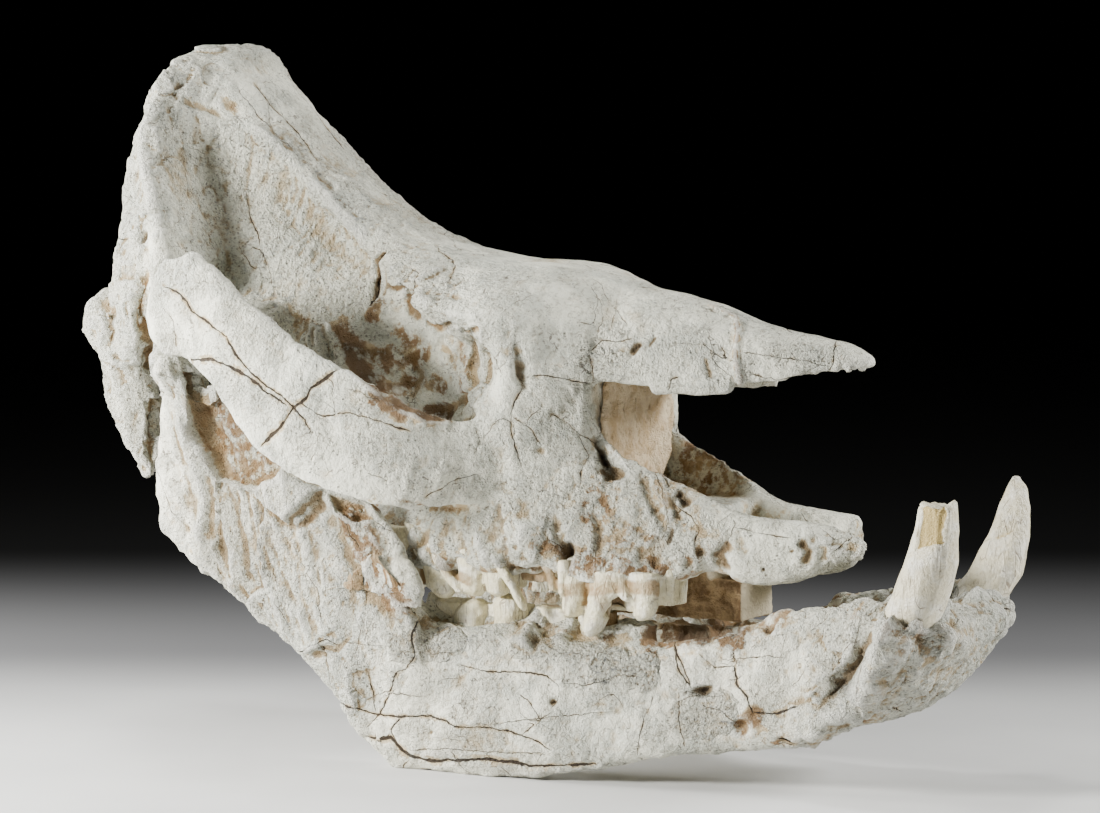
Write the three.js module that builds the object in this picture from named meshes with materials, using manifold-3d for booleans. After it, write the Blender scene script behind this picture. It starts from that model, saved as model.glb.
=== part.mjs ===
// Skull and lower jaw of a hornless fossil rhinoceros, life size, in millimetres.
// +X runs to the snout, +Y to the animal's left, +Z up. The jaw stands on the floor.
// Bones are lofts through smooth section rings; manifold joins them and parts them with thin cuts.
import * as THREE from 'three';
import { LoftGeometry } from 'three/addons/geometries/LoftGeometry.js';
import { mergeVertices } from 'three/addons/utils/BufferGeometryUtils.js';
import Module from 'manifold-3d';

const wasm = await Module();
wasm.setup();

// ---- driving sizes -------------------------------------------------------------------------
const GAP = 0.3; // clear joint between neighbouring bones
const RIGHT = -1;
const LEFT = 1;
const RING_DENSITY = 1.25; // samples per control point of a section ring

const FLOOR_Z = 0;
const BRAINCASE_REAR = -226;
const NOTCH_X = 57; // front wall of the face, rear end of the nasal notch
const NASAL_TIP = 209;
const MAXILLA_REAR = -84;
const PREMAXILLA_START = 122;
const PREMAXILLA_TIP = { right: 215, left: 190 }; // the left one is broken off short
const PALATE = { rear: -46, front: 124, low: 140, high: 157, half: 40 };
const ORBIT = { x: -23, y: 108, z: 235, rx: 39, ry: 62, rz: 30 };
const CONDYLE = { x: -284, y: 37, z: 252, rx: 31, ry: 20, rz: 26, toe: 0.35 };
const FORAMEN = { r: 18, z: 268, from: -330, to: -200 };
const BRAIN = { x: -168, z: 276, rx: 60, ry: 47, rz: 42 };
const JAW_CONDYLE = { x: -195, y: 101, z: 230, rx: 14, ry: 26, rz: 12 };
const NASAL_MATRIX = { rear: NOTCH_X + GAP, front: 62, half: 43, low: 162, high: 246 };
const MOUTH_MATRIX = { rear: 50, step: 116, front: 138, half: 20, low: 91, high: PALATE.low - GAP, lip: 114 };
const UPPER_TEETH = { rear: -60, lengths: [36, 36, 30, 26, 25, 20], embed: 10 };
const LOWER_TEETH = { rear: -46, lengths: [36, 32, 27, 24, 21], top: 98, embed: 20 };

// ---- small tools ---------------------------------------------------------------------------
const V = (x, y, z) => new THREE.Vector3(x, y, z);
const lerp = THREE.MathUtils.lerp;

// a smooth function through [position, value] stations, held level past its ends
function profile(...stations) {
  const at = stations.map(([x]) => x);
  const spline = new THREE.CubicInterpolant(at, stations.map(([, v]) => v), 1);
  return (x) => spline.evaluate(THREE.MathUtils.clamp(x, at[0], at.at(-1)))[0];
}

const steps = (from, to, count) => Array.from({ length: count + 1 }, (_, i) => lerp(from, to, i / count));

const middleOf = (points) => points.reduce((sum, p) => sum.add(p), V(0, 0, 0)).divideScalar(points.length);

// closed smooth ring through control points, pushed out from its centre by grow
function ring(points, grow = 0, density = RING_DENSITY) {
  const curve = new THREE.CatmullRomCurve3(points, true);
  const count = points.length * density;
  const centre = middleOf(points);
  return Array.from({ length: count }, (_, i) => {
    const p = curve.getPoint(i / count);
    return p.add(p.clone().sub(centre).setLength(grow));
  });
}

// ring symmetric about the midline from [y, z] control points, top middle to bottom middle
const hoop = (x, half) => ring([
  ...half.map(([y, z]) => V(x, y, z)),
  ...half.slice(1, -1).reverse().map(([y, z]) => V(x, -y, z)),
], 0, 1.5);

// ring of an oval with half sizes a and b about a centre; axes u and v, squareness above 2 is boxier
function oval(centre, u, v, a, b, count = 12, square = 2) {
  return steps(0, 2 * Math.PI, count).slice(0, -1).map((t) => {
    const c = Math.sign(Math.cos(t)) * Math.abs(Math.cos(t)) ** (2 / square);
    const s = Math.sign(Math.sin(t)) * Math.abs(Math.sin(t)) ** (2 / square);
    return centre.clone().addScaledVector(u, a * c).addScaledVector(v, b * s);
  });
}
const X = V(1, 0, 0);
const Y = V(0, 1, 0);
const Z = V(0, 0, 1);

function solid(geometry) {
  const bare = new THREE.BufferGeometry().setAttribute('position', geometry.attributes.position);
  const merged = mergeVertices(bare.setIndex(geometry.index), 1e-4);
  const p = merged.attributes.position;
  const faces = Uint32Array.from(merged.index.array);
  let volume = 0;
  for (let i = 0; i < faces.length; i += 3) {
    const [a, b, c] = [0, 1, 2].map((k) => V().fromBufferAttribute(p, faces[i + k]));
    volume += a.dot(b.cross(c));
  }
  if (volume < 0) faces.reverse();
  return new wasm.Manifold(new wasm.Mesh({ numProp: 3, vertProperties: p.array, triVerts: faces }));
}

// skin through rings, each turned to run counter-clockwise as seen from the loft's end
function loft(sections) {
  const [first, last] = [sections[0], sections.at(-1)];
  const turn = V(0, 0, 0);
  first.forEach((p, i) => turn.add(p.clone().cross(first[(i + 1) % first.length])));
  const forward = turn.dot(middleOf(last).sub(middleOf(first))) > 0;
  const rings = forward ? sections : sections.map((section) => [...section].reverse());
  return solid(new LoftGeometry(rings, { capStart: true, capEnd: true }));
}
const join = (...solids) => solids.reduce((a, b) => a.add(b));

function block(x0, x1, y0, y1, z0, z1) {
  const box = new THREE.BoxGeometry(Math.abs(x1 - x0), Math.abs(y1 - y0), Math.abs(z1 - z0));
  return solid(box.translate((x0 + x1) / 2, (y0 + y1) / 2, (z0 + z1) / 2));
}

function ball(x, y, z, rx, ry, rz, around = 12, down = 8) {
  return solid(new THREE.SphereGeometry(1, around, down).scale(rx, ry, rz).translate(x, y, z));
}

// ---- cranium: outlines as functions of x (or of z for the occiput) ---------------------------
const dorsal = profile([-245, 424], [-237, 427], [-205, 410], [-179, 386], [-159, 365], [-131, 342],
  [-101, 321], [-78, 309], [-55, 301], [-21, 296], [16, 294], [39, 290], [64, 282], [98, 276], [127, 267],
  [144, 261], [186, 253], [206, 246], [213, 241]);
const roofEdgeY = profile([-245, 56], [-213, 50], [-179, 43], [-130, 38], [-100, 40], [-74, 58], [-48, 79],
  [-15, 89], [10, 90], [26, 77], [42, 63], [58, 53]);
const roofEdgeZ = profile([-245, 388], [-213, 392], [-179, 367], [-147, 339], [-115, 319], [-87, 299],
  [-60, 280], [-35, 270], [8, 266], [30, 266], [58, 254]);
const upperWallY = profile([-245, 55], [-200, 44], [-147, 36], [-100, 35], [-60, 41], [-20, 52], [4, 84],
  [16, 92], [28, 80], [42, 66], [58, 55]);
const bulgeY = profile([-245, 70], [-200, 62], [-160, 59], [-120, 50], [-85, 42], [-40, 44], [-12, 66],
  [6, 90], [18, 92], [30, 81], [44, 67], [58, 56]);
const bulgeZ = profile([-245, 300], [-200, 300], [-150, 285], [-100, 258], [-40, 230], [16, 214], [58, 210]);
const lowerWallY = profile([-245, 70], [-200, 58], [-150, 46], [-100, 34], [-60, 33], [-20, 50], [16, 84],
  [34, 76], [58, 57]);
const lowerWallZ = profile([-245, 252], [-200, 246], [-150, 238], [-100, 218], [-60, 203], [-20, 190],
  [16, 178], [58, 178]);
const baseY = profile([-245, 38], [-200, 28], [-150, 24], [-100, 21], [-60, 24], [-20, 40], [16, 72], [58, 50]);
const baseZ = profile([-245, 232], [-200, 226], [-150, 217], [-100, 201], [-60, 190], [-20, 174], [16, 152],
  [58, 156]);

function braincaseAndFace() {
  return loft(steps(BRAINCASE_REAR, NOTCH_X, 16).map((x) => hoop(x, [
    [0, dorsal(x)],
    [0.55 * roofEdgeY(x), lerp(dorsal(x), roofEdgeZ(x), 0.15)],
    [roofEdgeY(x), roofEdgeZ(x)],
    [lerp(roofEdgeY(x), upperWallY(x), 0.55), roofEdgeZ(x) - 10],
    [upperWallY(x), lerp(roofEdgeZ(x), bulgeZ(x), 0.5)],
    [bulgeY(x), bulgeZ(x)],
    [lowerWallY(x), lowerWallZ(x)],
    [baseY(x), baseZ(x)],
    [0, baseZ(x) + 4],
  ])));
}

const occiputRear = profile([232, -268], [262, -265], [294, -262], [331, -257], [360, -259], [388, -252],
  [410, -246], [427, -240]);
const occiputHalf = profile([232, 98], [262, 112], [294, 119], [331, 104], [360, 92], [388, 83], [410, 62],
  [421, 40], [427, 18]);
const occiputTip = profile([232, -236], [262, -222], [294, -198], [331, -214], [360, -226], [388, -229],
  [427, -236]);

const napeHollow = profile([232, 2], [270, 6], [300, 24], [345, 31], [390, 24], [418, 8], [427, 3]);

function occipitalPlate() {
  return loft([232, 262, 294, 325, 360, 390, 412, 427].map((z) => {
    const [rear, half, tip] = [occiputRear(z), occiputHalf(z), occiputTip(z)];
    const hollow = napeHollow(z);
    const middle = rear + hollow;
    const front = Math.max(tip + 10, middle + 22);
    const side = (s) => [V(rear + 0.25 * hollow, s * 0.58 * half, z), V(rear + 5, s * 0.82 * half, z),
      V(tip - 6, s * half, z), V(tip + 3, s * 0.96 * half, z), V(front, s * 0.4 * half, z)];
    return ring([V(middle, 0, z), ...side(1), V(front + 4, 0, z), ...side(-1).reverse()]);
  }));
}

function occiputProcesses(s) {
  const { x: cx, y: cy, z: cz, rx, ry, rz, toe } = CONDYLE;
  const condyle = solid(new THREE.SphereGeometry(1, 12, 8).scale(rx, ry, rz).rotateZ(-s * toe)
    .translate(cx, s * cy, cz));
  const neck = loft([[-292, 22, 13, 12, 238], [-272, 30, 20, 19, 240], [-240, 40, 34, 26, 246]].map(
    ([x, y, a, b, z]) => oval(V(x, s * y, z), Y, Z, a, b, 10)));
  const paroccipital = loft([[262, -252, 80, 20, 26], [232, -254, 76, 20, 21], [206, -252, 75, 19, 16],
    [184, -243, 78, 13, 12], [162, -236, 80, 6, 5]].map(([z, x, y, a, b]) =>
    oval(V(x, s * y, z), X, Y, a, b, 8)));
  const postglenoid = loft([[256, -216, 84, 9, 20], [228, -217, 86, 7, 15], [208, -218, 87, 5, 9]].map(
    ([z, x, y, a, b]) => oval(V(x, s * y, z), X, Y, a, b, 8)));
  return join(condyle, neck, paroccipital, postglenoid);
}

// root of the arch: a shelf from the side of the braincase, hollowed below for the jaw's condyle
function archRoot(s) {
  return loft([[50, -214, -144, 240, 276], [90, -212, -152, 240, 268], [122, -206, -154, 241, 281],
    [147, -184, -152, 240, 300]].map(([y, x0, x1, z0, z1]) =>
    oval(V((x0 + x1) / 2, s * y, (z0 + z1) / 2), X, Z, (x1 - x0) / 2, (z1 - z0) / 2, 10, 2.6)));
}

// ---- cheek arch --------------------------------------------------------------------------------
const archTop = profile([-174, 292], [-166, 303], [-148, 299], [-128, 282], [-100, 261], [-64, 239],
  [-43, 228], [-27, 216], [-10, 206], [6, 208], [24, 212]);
const archLow = profile([-174, 262], [-168, 240], [-150, 234], [-139, 219], [-118, 192], [-92, 174],
  [-60, 163], [-43, 157], [-20, 156], [24, 160]);
const archOut = profile([-174, 148], [-140, 151], [-100, 146], [-60, 139], [-30, 126], [-8, 106], [8, 90],
  [24, 75]);
const archThick = profile([-174, 14], [-150, 20], [-100, 16], [-50, 18], [-20, 26], [24, 40]);

function cheekArch(s) {
  return loft(steps(-174, 24, 12).map((x) => {
    const [top, low, out, thick] = [archTop(x), archLow(x), archOut(x), archThick(x)];
    return ring([
      V(x, s * (out - 0.55 * thick), top), V(x, s * (out - 0.12 * thick), top - 4),
      V(x, s * out, lerp(low, top, 0.55)), V(x, s * (out - 0.15 * thick), low + 5),
      V(x, s * (out - 0.6 * thick), low), V(x, s * (out - thick), lerp(low, top, 0.45)),
    ]);
  }));
}

// ---- upper jaw ---------------------------------------------------------------------------------
const gumOut = profile([-84, 60], [-66, 74], [-40, 78], [0, 79], [38, 75], [62, 69], [88, 61], [124, 48]);
const gumZ = profile([-84, 140], [-74, 122], [-60, 114], [38, 117], [62, 115], [90, 113], [124, 121]);
const maxillaTop = profile([-84, 160], [-70, 182], [-50, 192], [-20, 202], [16, 208], [50, 206], [60, 199],
  [66, 192], [78, 185], [90, 181], [104, 174], [124, 164]);
const maxillaTopY = profile([-84, 48], [-60, 52], [-20, 60], [16, 78], [40, 62], [60, 51], [90, 45], [124, 37]);
const maxillaWall = profile([-84, 20], [-40, 30], [16, 44], [50, 24], [62, 13], [124, 13]);
const gumWidth = profile([-84, 26], [-60, 36], [0, 40], [50, 38], [90, 31], [124, 24]);

function maxilla(s) {
  return loft(steps(MAXILLA_REAR, 124, 12).map((x) => {
    const [out, low, top] = [gumOut(x), gumZ(x), maxillaTop(x)];
    const [topY, wall, width] = [maxillaTopY(x), maxillaWall(x), gumWidth(x)];
    return ring([
      V(x, s * (topY - 0.5 * wall), top), V(x, s * topY, top - 5),
      V(x, s * (lerp(out, topY, 0.3) + 1), lerp(low, top, 0.45)), V(x, s * out, low + 9),
      V(x, s * (out - 4), low), V(x, s * (out - width), low + 1),
      V(x, s * (out - width - 2), lerp(low, top, 0.35)), V(x, s * (topY - wall), lerp(low, top, 0.75)),
    ]);
  }));
}

const premaxillaTop = profile([118, 166], [134, 158], [156, 154], [182, 152], [198, 150], [210, 146], [218, 141]);
const premaxillaLow = profile([118, 120], [134, 117], [151, 115], [183, 119], [196, 127], [218, 134]);
const premaxillaY = profile([118, 34], [150, 29], [180, 25], [200, 21], [218, 19]);
const premaxillaHalf = profile([118, 12], [180, 12], [204, 8], [218, 4]);

function premaxilla(s, side) {
  return loft(steps(118, PREMAXILLA_TIP[side], 7).map((x) => {
    const [top, low] = [premaxillaTop(x), premaxillaLow(x)];
    return oval(V(x, s * premaxillaY(x), (top + low) / 2), Y, Z, premaxillaHalf(x), (top - low) / 2, 10, 2.4);
  }));
}

function palate() {
  const { rear, front, low, high, half } = PALATE;
  return block(rear, front, -half, half, low, high)
    .subtract(block(90, front + 1, 30, half + 1, low - 1, high + 1))
    .subtract(block(90, front + 1, -30, -half - 1, low - 1, high + 1));
}

function pterygoid(s) {
  return loft([[212, -118, -84, 26], [186, -116, -90, 27], [162, -108, -94, 29]].map(([z, x0, x1, y]) =>
    oval(V((x0 + x1) / 2, s * y, z), X, Y, (x1 - x0) / 2, 5, 8, 2.6)));
}

const nasalLow = profile([50, 228], [93, 226], [126, 226], [139, 228], [164, 229], [176, 233], [213, 237]);
const nasalHalf = profile([50, 54], [70, 51], [93, 46], [126, 36], [164, 24], [191, 14], [209, 5]);

function nasals() {
  return loft(steps(50, NASAL_TIP, 9).map((x) => {
    const [top, low, half] = [dorsal(x) - 0.3, nasalLow(x), nasalHalf(x)];
    const skin = lerp(20, 3, (x - 50) / (NASAL_TIP - 50));
    return hoop(x, [[0, top], [0.5 * half, top - 0.1 * (top - low)], [0.9 * half, lerp(top, low, 0.45)],
      [half, low + 3], [0.86 * half, low], [0.6 * half, lerp(low, top - skin, 0.6)], [0, top - skin]]);
  }));
}

// ---- teeth ---------------------------------------------------------------------------------------
// upper cheek tooth: an outer wall and two cross crests, seen from below as the letter pi
function upperTooth(s, x0, length, out, width, low, top) {
  const plan = new THREE.Shape();
  const [inner, valley, rib] = [out - width, out - 0.55 * width, 1.5];
  [[0.02, out - 2], [0.2, out + rib], [0.42, out - 1], [0.98, out - 3], [0.97, inner + 3], [0.66, inner],
    [0.56, valley], [0.47, valley], [0.4, inner], [0.05, inner + 2]]
    .forEach(([u, y], i) => plan[i ? 'lineTo' : 'moveTo'](x0 + u * length, s * y));
  return solid(new THREE.ExtrudeGeometry(plan, { depth: top - low, bevelEnabled: false }).translate(0, 0, low));
}

// lower cheek tooth: two crescents open to the tongue
function lowerTooth(s, x0, length, out, width, low, top, grow = 0) {
  const plan = new THREE.Shape();
  const [o, i] = [out + grow, out - width - grow];
  [[0.02, i], [0.02, o - 4], [0.25, o], [0.49, o - 2.5], [0.75, o], [0.98, o - 4], [0.98, i]].forEach(([u, y], k) =>
    plan[k ? 'lineTo' : 'moveTo'](x0 + u * length + (u < 0.5 ? -grow : grow), s * y));
  const height = top - low + grow;
  return solid(new THREE.ExtrudeGeometry(plan, { depth: height, bevelEnabled: false }).translate(0, 0, low));
}

const upperCrown = profile([-50, 99], [-8, 101], [25, 97], [50, 92], [72, 84], [84, 86], [100, 94]);
const upperWidth = profile([-50, 36], [0, 42], [50, 39], [100, 26]);
const lowerOut = profile([-30, 69], [20, 65], [50, 61], [90, 54]);

function toothRow(teeth, build) {
  let x = teeth.rear;
  return teeth.lengths.map((length) => {
    const tooth = build(x, length, x + length / 2);
    x += length;
    return tooth;
  });
}
const upperTeeth = (s) => join(...toothRow(UPPER_TEETH, (x0, length, x) => upperTooth(
  s, x0, length, gumOut(x) - 2, upperWidth(x), upperCrown(x), gumZ(x) + UPPER_TEETH.embed)));
const lowerTeeth = (s, grow = 0) => join(...toothRow(LOWER_TEETH, (x0, length, x) => lowerTooth(
  s, x0, length, lowerOut(x), 21, LOWER_TEETH.top - LOWER_TEETH.embed - grow, LOWER_TEETH.top, grow)));

// ---- lower jaw -----------------------------------------------------------------------------------
const jawLow = profile([-92, 32], [-79, 22], [-66, 8], [-56, -1.6], [-27, -2], [0, -1.6], [20, -0.6], [33, 2],
  [56, 6], [80, 11], [103, 17], [149, 23], [199, 32], [222, 46], [238, 58]);
const jawTop = profile([-92, 100], [-43, 92], [-25, 85], [14, 88], [40, 82], [104, 82], [122, 84], [150, 92],
  [168, 99], [182, 109], [194, 106], [222, 110], [238, 104]);
const jawOut = profile([-92, 100], [-50, 95], [0, 90], [40, 82], [70, 74], [100, 66], [130, 60], [160, 56],
  [190, 56], [222, 58], [238, 50]);
const jawThick = profile([-92, 16], [-60, 27], [-30, 36], [30, 38], [100, 34], [160, 32], [238, 30]);
const jawKeelY = profile([-92, 92], [-50, 81], [0, 79], [30, 77], [70, 68], [130, 53], [190, 42], [222, 42]);

function jawBody(s, grow = 0) {
  return loft(steps(-82, 236, 14).map((x) => {
    const [low, top, out, thick, keel] = [jawLow(x), jawTop(x), jawOut(x), jawThick(x), jawKeelY(x)];
    const high = top - low;
    return ring([
      V(x, s * (out - 0.4 * thick), top), V(x, s * (out - 0.08 * thick), top - 0.12 * high),
      V(x, s * out, low + 0.5 * high), V(x, s * lerp(keel + 9, out, 0.5), low + 0.16 * high),
      V(x, s * (keel + 5), low), V(x, s * (keel - 6), low),
      V(x, s * (out - thick), low + 0.45 * high), V(x, s * (out - 0.85 * thick), top - 0.1 * high),
    ], grow);
  }));
}

const ramusRear = profile([4, -60], [14, -68], [26, -80], [41, -97], [62, -119], [79, -144], [97, -168],
  [118, -199], [134, -217], [164, -218], [210, -211]);
const ramusFront = profile([4, -30], [95, -37], [109, -54], [135, -74], [156, -93], [175, -96], [210, -92]);
const ramusY = profile([4, 83], [60, 91], [120, 99], [164, 101], [210, 102]);
const ramusHalf = profile([4, 8], [60, 10.5], [120, 7.5], [210, 7]);
// front edge of the ramus, turned inwards behind the last upper tooth: [z, x, y] of its rim
const RAMUS_LIP = {
  thick: 4.5, root: 8, rim: [[98, -50, 93], [118, -52, 88], [135, -66, 86], [156, -78, 84], [168, -86, 86]],
};

function ramus(s, grow = 0) {
  const plate = loft([8, 30, 60, 90, 112, 132, 162, 200, 216].map((z) => {
    const [rear, front] = [ramusRear(z), ramusFront(z)];
    return oval(V((rear + front) / 2, s * ramusY(z), z), X, Y, (front - rear) / 2 + grow, ramusHalf(z) + grow,
      12, 2.6);
  }));
  const lip = loft(RAMUS_LIP.rim.map(([z, x, y]) => {
    const [root, rim] = [V(ramusFront(z) - RAMUS_LIP.root, s * ramusY(z), z), V(x, s * y, z)];
    const along = rim.clone().sub(root);
    const half = along.length() / 2;
    along.normalize();
    return oval(root.add(rim).divideScalar(2), along, Z.clone().cross(along), half + grow,
      RAMUS_LIP.thick + grow, 10);
  }));
  const coronoid = loft([[196, -120, 30, 7], [228, -108, 22, 6.5], [250, -101, 15, 5], [261, -100, 8, 3]]
    .map(([z, x, a, b]) => oval(V(x, s * 98, z), X, Y, a + grow, b + grow, 8)));
  const { x, y, z, rx, ry, rz } = JAW_CONDYLE;
  const neck = loft([[190, 101, 18, 9], [208, 101, 14, 12], [226, y, 10, 20]].map(([h, w, a, b]) =>
    oval(V(lerp(-187, x, (h - 190) / 36), s * w, h), X, Y, a + grow, b + grow, 8)));
  return join(plate, lip, coronoid, neck, ball(x, s * y, z, rx + grow, ry + grow, rz + grow, 10, 6));
}

const chinHalf = profile([150, 30], [175, 50], [200, 56], [222, 62], [246, 66], [262, 66], [271, 57], [276, 42]);
const chinLow = profile([150, 52], [175, 33], [217, 38], [236, 45], [254, 57], [268, 71], [276, 86]);
const chinTrough = profile([150, 66], [190, 86], [222, 98], [250, 104], [276, 102]);
const chinRim = profile([150, 70], [182, 104], [194, 104], [211, 112], [240, 115], [262, 108], [276, 100]);

function symphysis() {
  return loft(steps(150, 276, 8).map((x) => {
    const [half, low, trough, rim] = [chinHalf(x), chinLow(x), chinTrough(x), chinRim(x)];
    return hoop(x, [[0, trough], [0.5 * half, lerp(trough, rim, 0.35)], [0.82 * half, rim],
      [half, lerp(rim, low, 0.3)], [0.92 * half, lerp(rim, low, 0.66)], [0.55 * half, low + 4], [0, low + 1]]);
  }));
}

// ---- tusks: stations [z, front x, rear x, y of the middle, half thickness] --------------------------
const TUSK_ROOT = [[66, 246, 212, 37, 12], [86, 259, 222, 41, 15], [104, 270, 236, 45, 16.5]];
const LONG_TUSK = [...TUSK_ROOT, [120, 279, 248, 50, 14], [141, 281, 257, 57, 11.5], [157, 279, 261, 63, 8],
  [168, 275, 264, 67, 4.5], [174, 270, 267, 69, 1.6]];
const SNAPPED_TUSK = [...TUSK_ROOT, [120, 277, 246, 48, 15.5], [138, 282.5, 254, 51.5, 13.5],
  [155, 284.5, 260, 54, 11], [172, 285, 265, 57, 8.5]];

// D-shaped section: flat wear face to the inside, round face outwards
function tusk(s, stations, grow = 0) {
  return loft(stations.map(([z, front, rear, y, half]) => {
    const [mid, long] = [(front + rear) / 2, (front - rear) / 2];
    return ring([
      V(mid + long, s * (y - 0.1 * half), z), V(mid + 0.55 * long, s * (y + 0.75 * half), z),
      V(mid - 0.25 * long, s * (y + half), z), V(mid - long, s * (y + 0.1 * half), z),
      V(mid - 0.5 * long, s * (y - 0.85 * half), z), V(mid + 0.5 * long, s * (y - 0.85 * half), z),
    ], grow);
  }));
}

// ---- matrix left in the cavities ---------------------------------------------------------------------
function nasalMatrix(grow = 0) {
  const { rear, front, half, low, high } = NASAL_MATRIX;
  const middle = (low + high) / 2;
  return loft([rear - grow, front + grow].map((x) => oval(
    V(x, 0, middle), Y, Z, half + grow, (high - low) / 2 + grow, 16, 3)));
}

function mouthMatrix(grow = 0) {
  const { rear, step, front, half, low, high, lip } = MOUTH_MATRIX;
  const g = grow;
  return block(rear - g, step + g, -half - g, half + g, low - g, high)
    .add(block(step - 4, front + g, -half - g, half + g, low - g, lip));
}

// ---- build the bones ------------------------------------------------------------------------------------
const sides = [[RIGHT, 'right'], [LEFT, 'left']];
const nodes = [];
const COLOURS = { bone: 0xd9d3c6, tooth: 0xe0d6bf, tusk: 0xdcd0b0, matrix: 0xb98f6c };
const ROUGHNESS = { bone: 0.85, tooth: 0.5, tusk: 0.45, matrix: 0.95 };

function keep(name, body, kind = 'bone') {
  nodes.push({ name, body, kind });
}

// cut a named bone out of what is left, leaving a clear joint round it
function part(rest, name, boxes) {
  const region = join(...boxes.map(([x0, x1, y0, y1, z0, z1]) => block(x0, x1, y0, y1, z0, z1)));
  const wider = join(...boxes.map(([x0, x1, y0, y1, z0, z1]) =>
    block(x0 - GAP, x1 + GAP, y0 - GAP, y1 + GAP, z0 - GAP, z1 + GAP)));
  keep(name, rest.intersect(region));
  return rest.subtract(wider);
}

const face = join(braincaseAndFace(), occipitalPlate(), palate(), nasals(),
  ...sides.flatMap(([s, side]) => [maxilla(s), premaxilla(s, side), pterygoid(s), archRoot(s), occiputProcesses(s)]));
const orbits = sides.map(([s]) => ball(ORBIT.x, s * ORBIT.y, ORBIT.z, ORBIT.rx, ORBIT.ry, ORBIT.rz, 14, 9));
const foramen = solid(new THREE.CylinderGeometry(FORAMEN.r, FORAMEN.r * 0.8, FORAMEN.to - FORAMEN.from, 14)
  .rotateZ(Math.PI / 2).translate((FORAMEN.from + FORAMEN.to) / 2, 0, FORAMEN.z))
  .add(ball(BRAIN.x, 0, BRAIN.z, BRAIN.rx, BRAIN.ry, BRAIN.rz, 10, 6));

let cranium = join(face.subtract(join(...orbits)).subtract(foramen), ...sides.map(([s]) => cheekArch(s)),
  ...sides.map(([s]) => upperTeeth(s)));
for (const [s] of sides) {
  cranium = cranium.subtract(ramus(s, GAP)).subtract(lowerTeeth(s, GAP)).subtract(jawBody(s, 2 * GAP));
}
cranium = cranium.subtract(nasalMatrix(GAP)).subtract(mouthMatrix(GAP));

// parting planes between the bones of the cranium
const FAR = 400;
const CUT = {
  nasal: 205, cheek: 40, archY: 100, malarY: 81, malarX: -8, archRear: -188, face: -60, brow: 195, tuber: 188,
  occiput: -226,
};
for (const [s, side] of sides) {
  const out = (y) => (s > 0 ? [y, FAR] : [-FAR, -y]);
  cranium = part(cranium, `zygomatic_arch_${side}`, [
    [CUT.archRear, CUT.face + 1, ...out(CUT.archY), 0, FAR],
    [CUT.face - 1, CUT.malarX, ...out(CUT.malarY), 146, 246],
  ]);
}
cranium = part(cranium, 'nasals', [[64, FAR, -FAR, FAR, CUT.nasal, FAR]]);
for (const [s, side] of sides) {
  const half = s > 0 ? [GAP / 2, FAR] : [-FAR, -GAP / 2];
  cranium = part(cranium, `premaxilla_${side}`, [[PREMAXILLA_START, FAR, ...half, 0, CUT.nasal - GAP]]);
}
for (const [s, side] of sides) {
  const half = s > 0 ? [GAP / 2, FAR] : [-FAR, -GAP / 2];
  cranium = part(cranium, `maxilla_${side}`, [
    [MAXILLA_REAR - 2, CUT.face + 1, ...half, 0, CUT.tuber], [CUT.face, CUT.cheek + 1, ...half, 0, CUT.brow],
    [CUT.cheek, FAR, ...half, 0, CUT.nasal - GAP],
  ]);
}
cranium = part(cranium, 'frontals', [[CUT.face, FAR, -FAR, FAR, 0, FAR]]);
cranium = part(cranium, 'occiput', [[-FAR, CUT.occiput, -FAR, FAR, 0, FAR]]);
keep('braincase', cranium);

const tusks = { right: SNAPPED_TUSK, left: LONG_TUSK };
const aboveFloor = block(-FAR, FAR, -FAR, FAR, FLOOR_Z, FAR);
let jaw = join(symphysis(), ...sides.flatMap(([s]) => [jawBody(s), ramus(s), lowerTeeth(s)]))
  .intersect(aboveFloor);
for (const [s, side] of sides) jaw = jaw.subtract(tusk(s, tusks[side], GAP));
jaw = jaw.subtract(mouthMatrix(GAP));
for (const [s, side] of sides) {
  const half = s > 0 ? [GAP / 2, FAR] : [-FAR, -GAP / 2];
  jaw = part(jaw, `mandible_ramus_${side}`, [[-FAR, -64, ...half, 0, FAR], [-65, -48, ...half, 96, FAR]]);
}
jaw = part(jaw, 'mandible_symphysis', [[168, FAR, -FAR, FAR, 0, FAR]]);
for (const [s, side] of sides) {
  const half = s > 0 ? [GAP / 2, FAR] : [-FAR, -GAP / 2];
  jaw = part(jaw, `mandible_body_${side}`, [[-FAR, FAR, ...half, 0, FAR]]);
}
for (const [s, side] of sides) keep(`tusk_${side}`, tusk(s, tusks[side]), 'tusk');
keep('nasal_matrix', nasalMatrix(), 'matrix');
keep('mouth_matrix', mouthMatrix(), 'matrix');

// ---- meshes, with the middle of the box's base as origin ----------------------------------------------------
const bounds = new THREE.Box3();
const group = new THREE.Group();
for (const { name, body, kind } of nodes) {
  const { vertProperties, triVerts } = body.getMesh();
  const geometry = new THREE.BufferGeometry();
  geometry.setAttribute('position', new THREE.Float32BufferAttribute(vertProperties, 3));
  geometry.setIndex([...triVerts]);
  geometry.computeBoundingBox();
  bounds.union(geometry.boundingBox);
  const material = new THREE.MeshStandardMaterial({
    color: COLOURS[kind], roughness: ROUGHNESS[kind], metalness: 0,
  });
  const mesh = new THREE.Mesh(geometry, material);
  mesh.name = name;
  group.add(mesh);
}
const centre = bounds.getCenter(V());
for (const mesh of group.children) {
  mesh.geometry.translate(-centre.x, -centre.y, -bounds.min.z);
  mesh.geometry.computeVertexNormals();
}

export default group;
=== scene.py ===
import math

import bmesh
import bpy
import numpy as np
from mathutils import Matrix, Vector, kdtree
from mathutils.bvhtree import BVHTree


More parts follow.
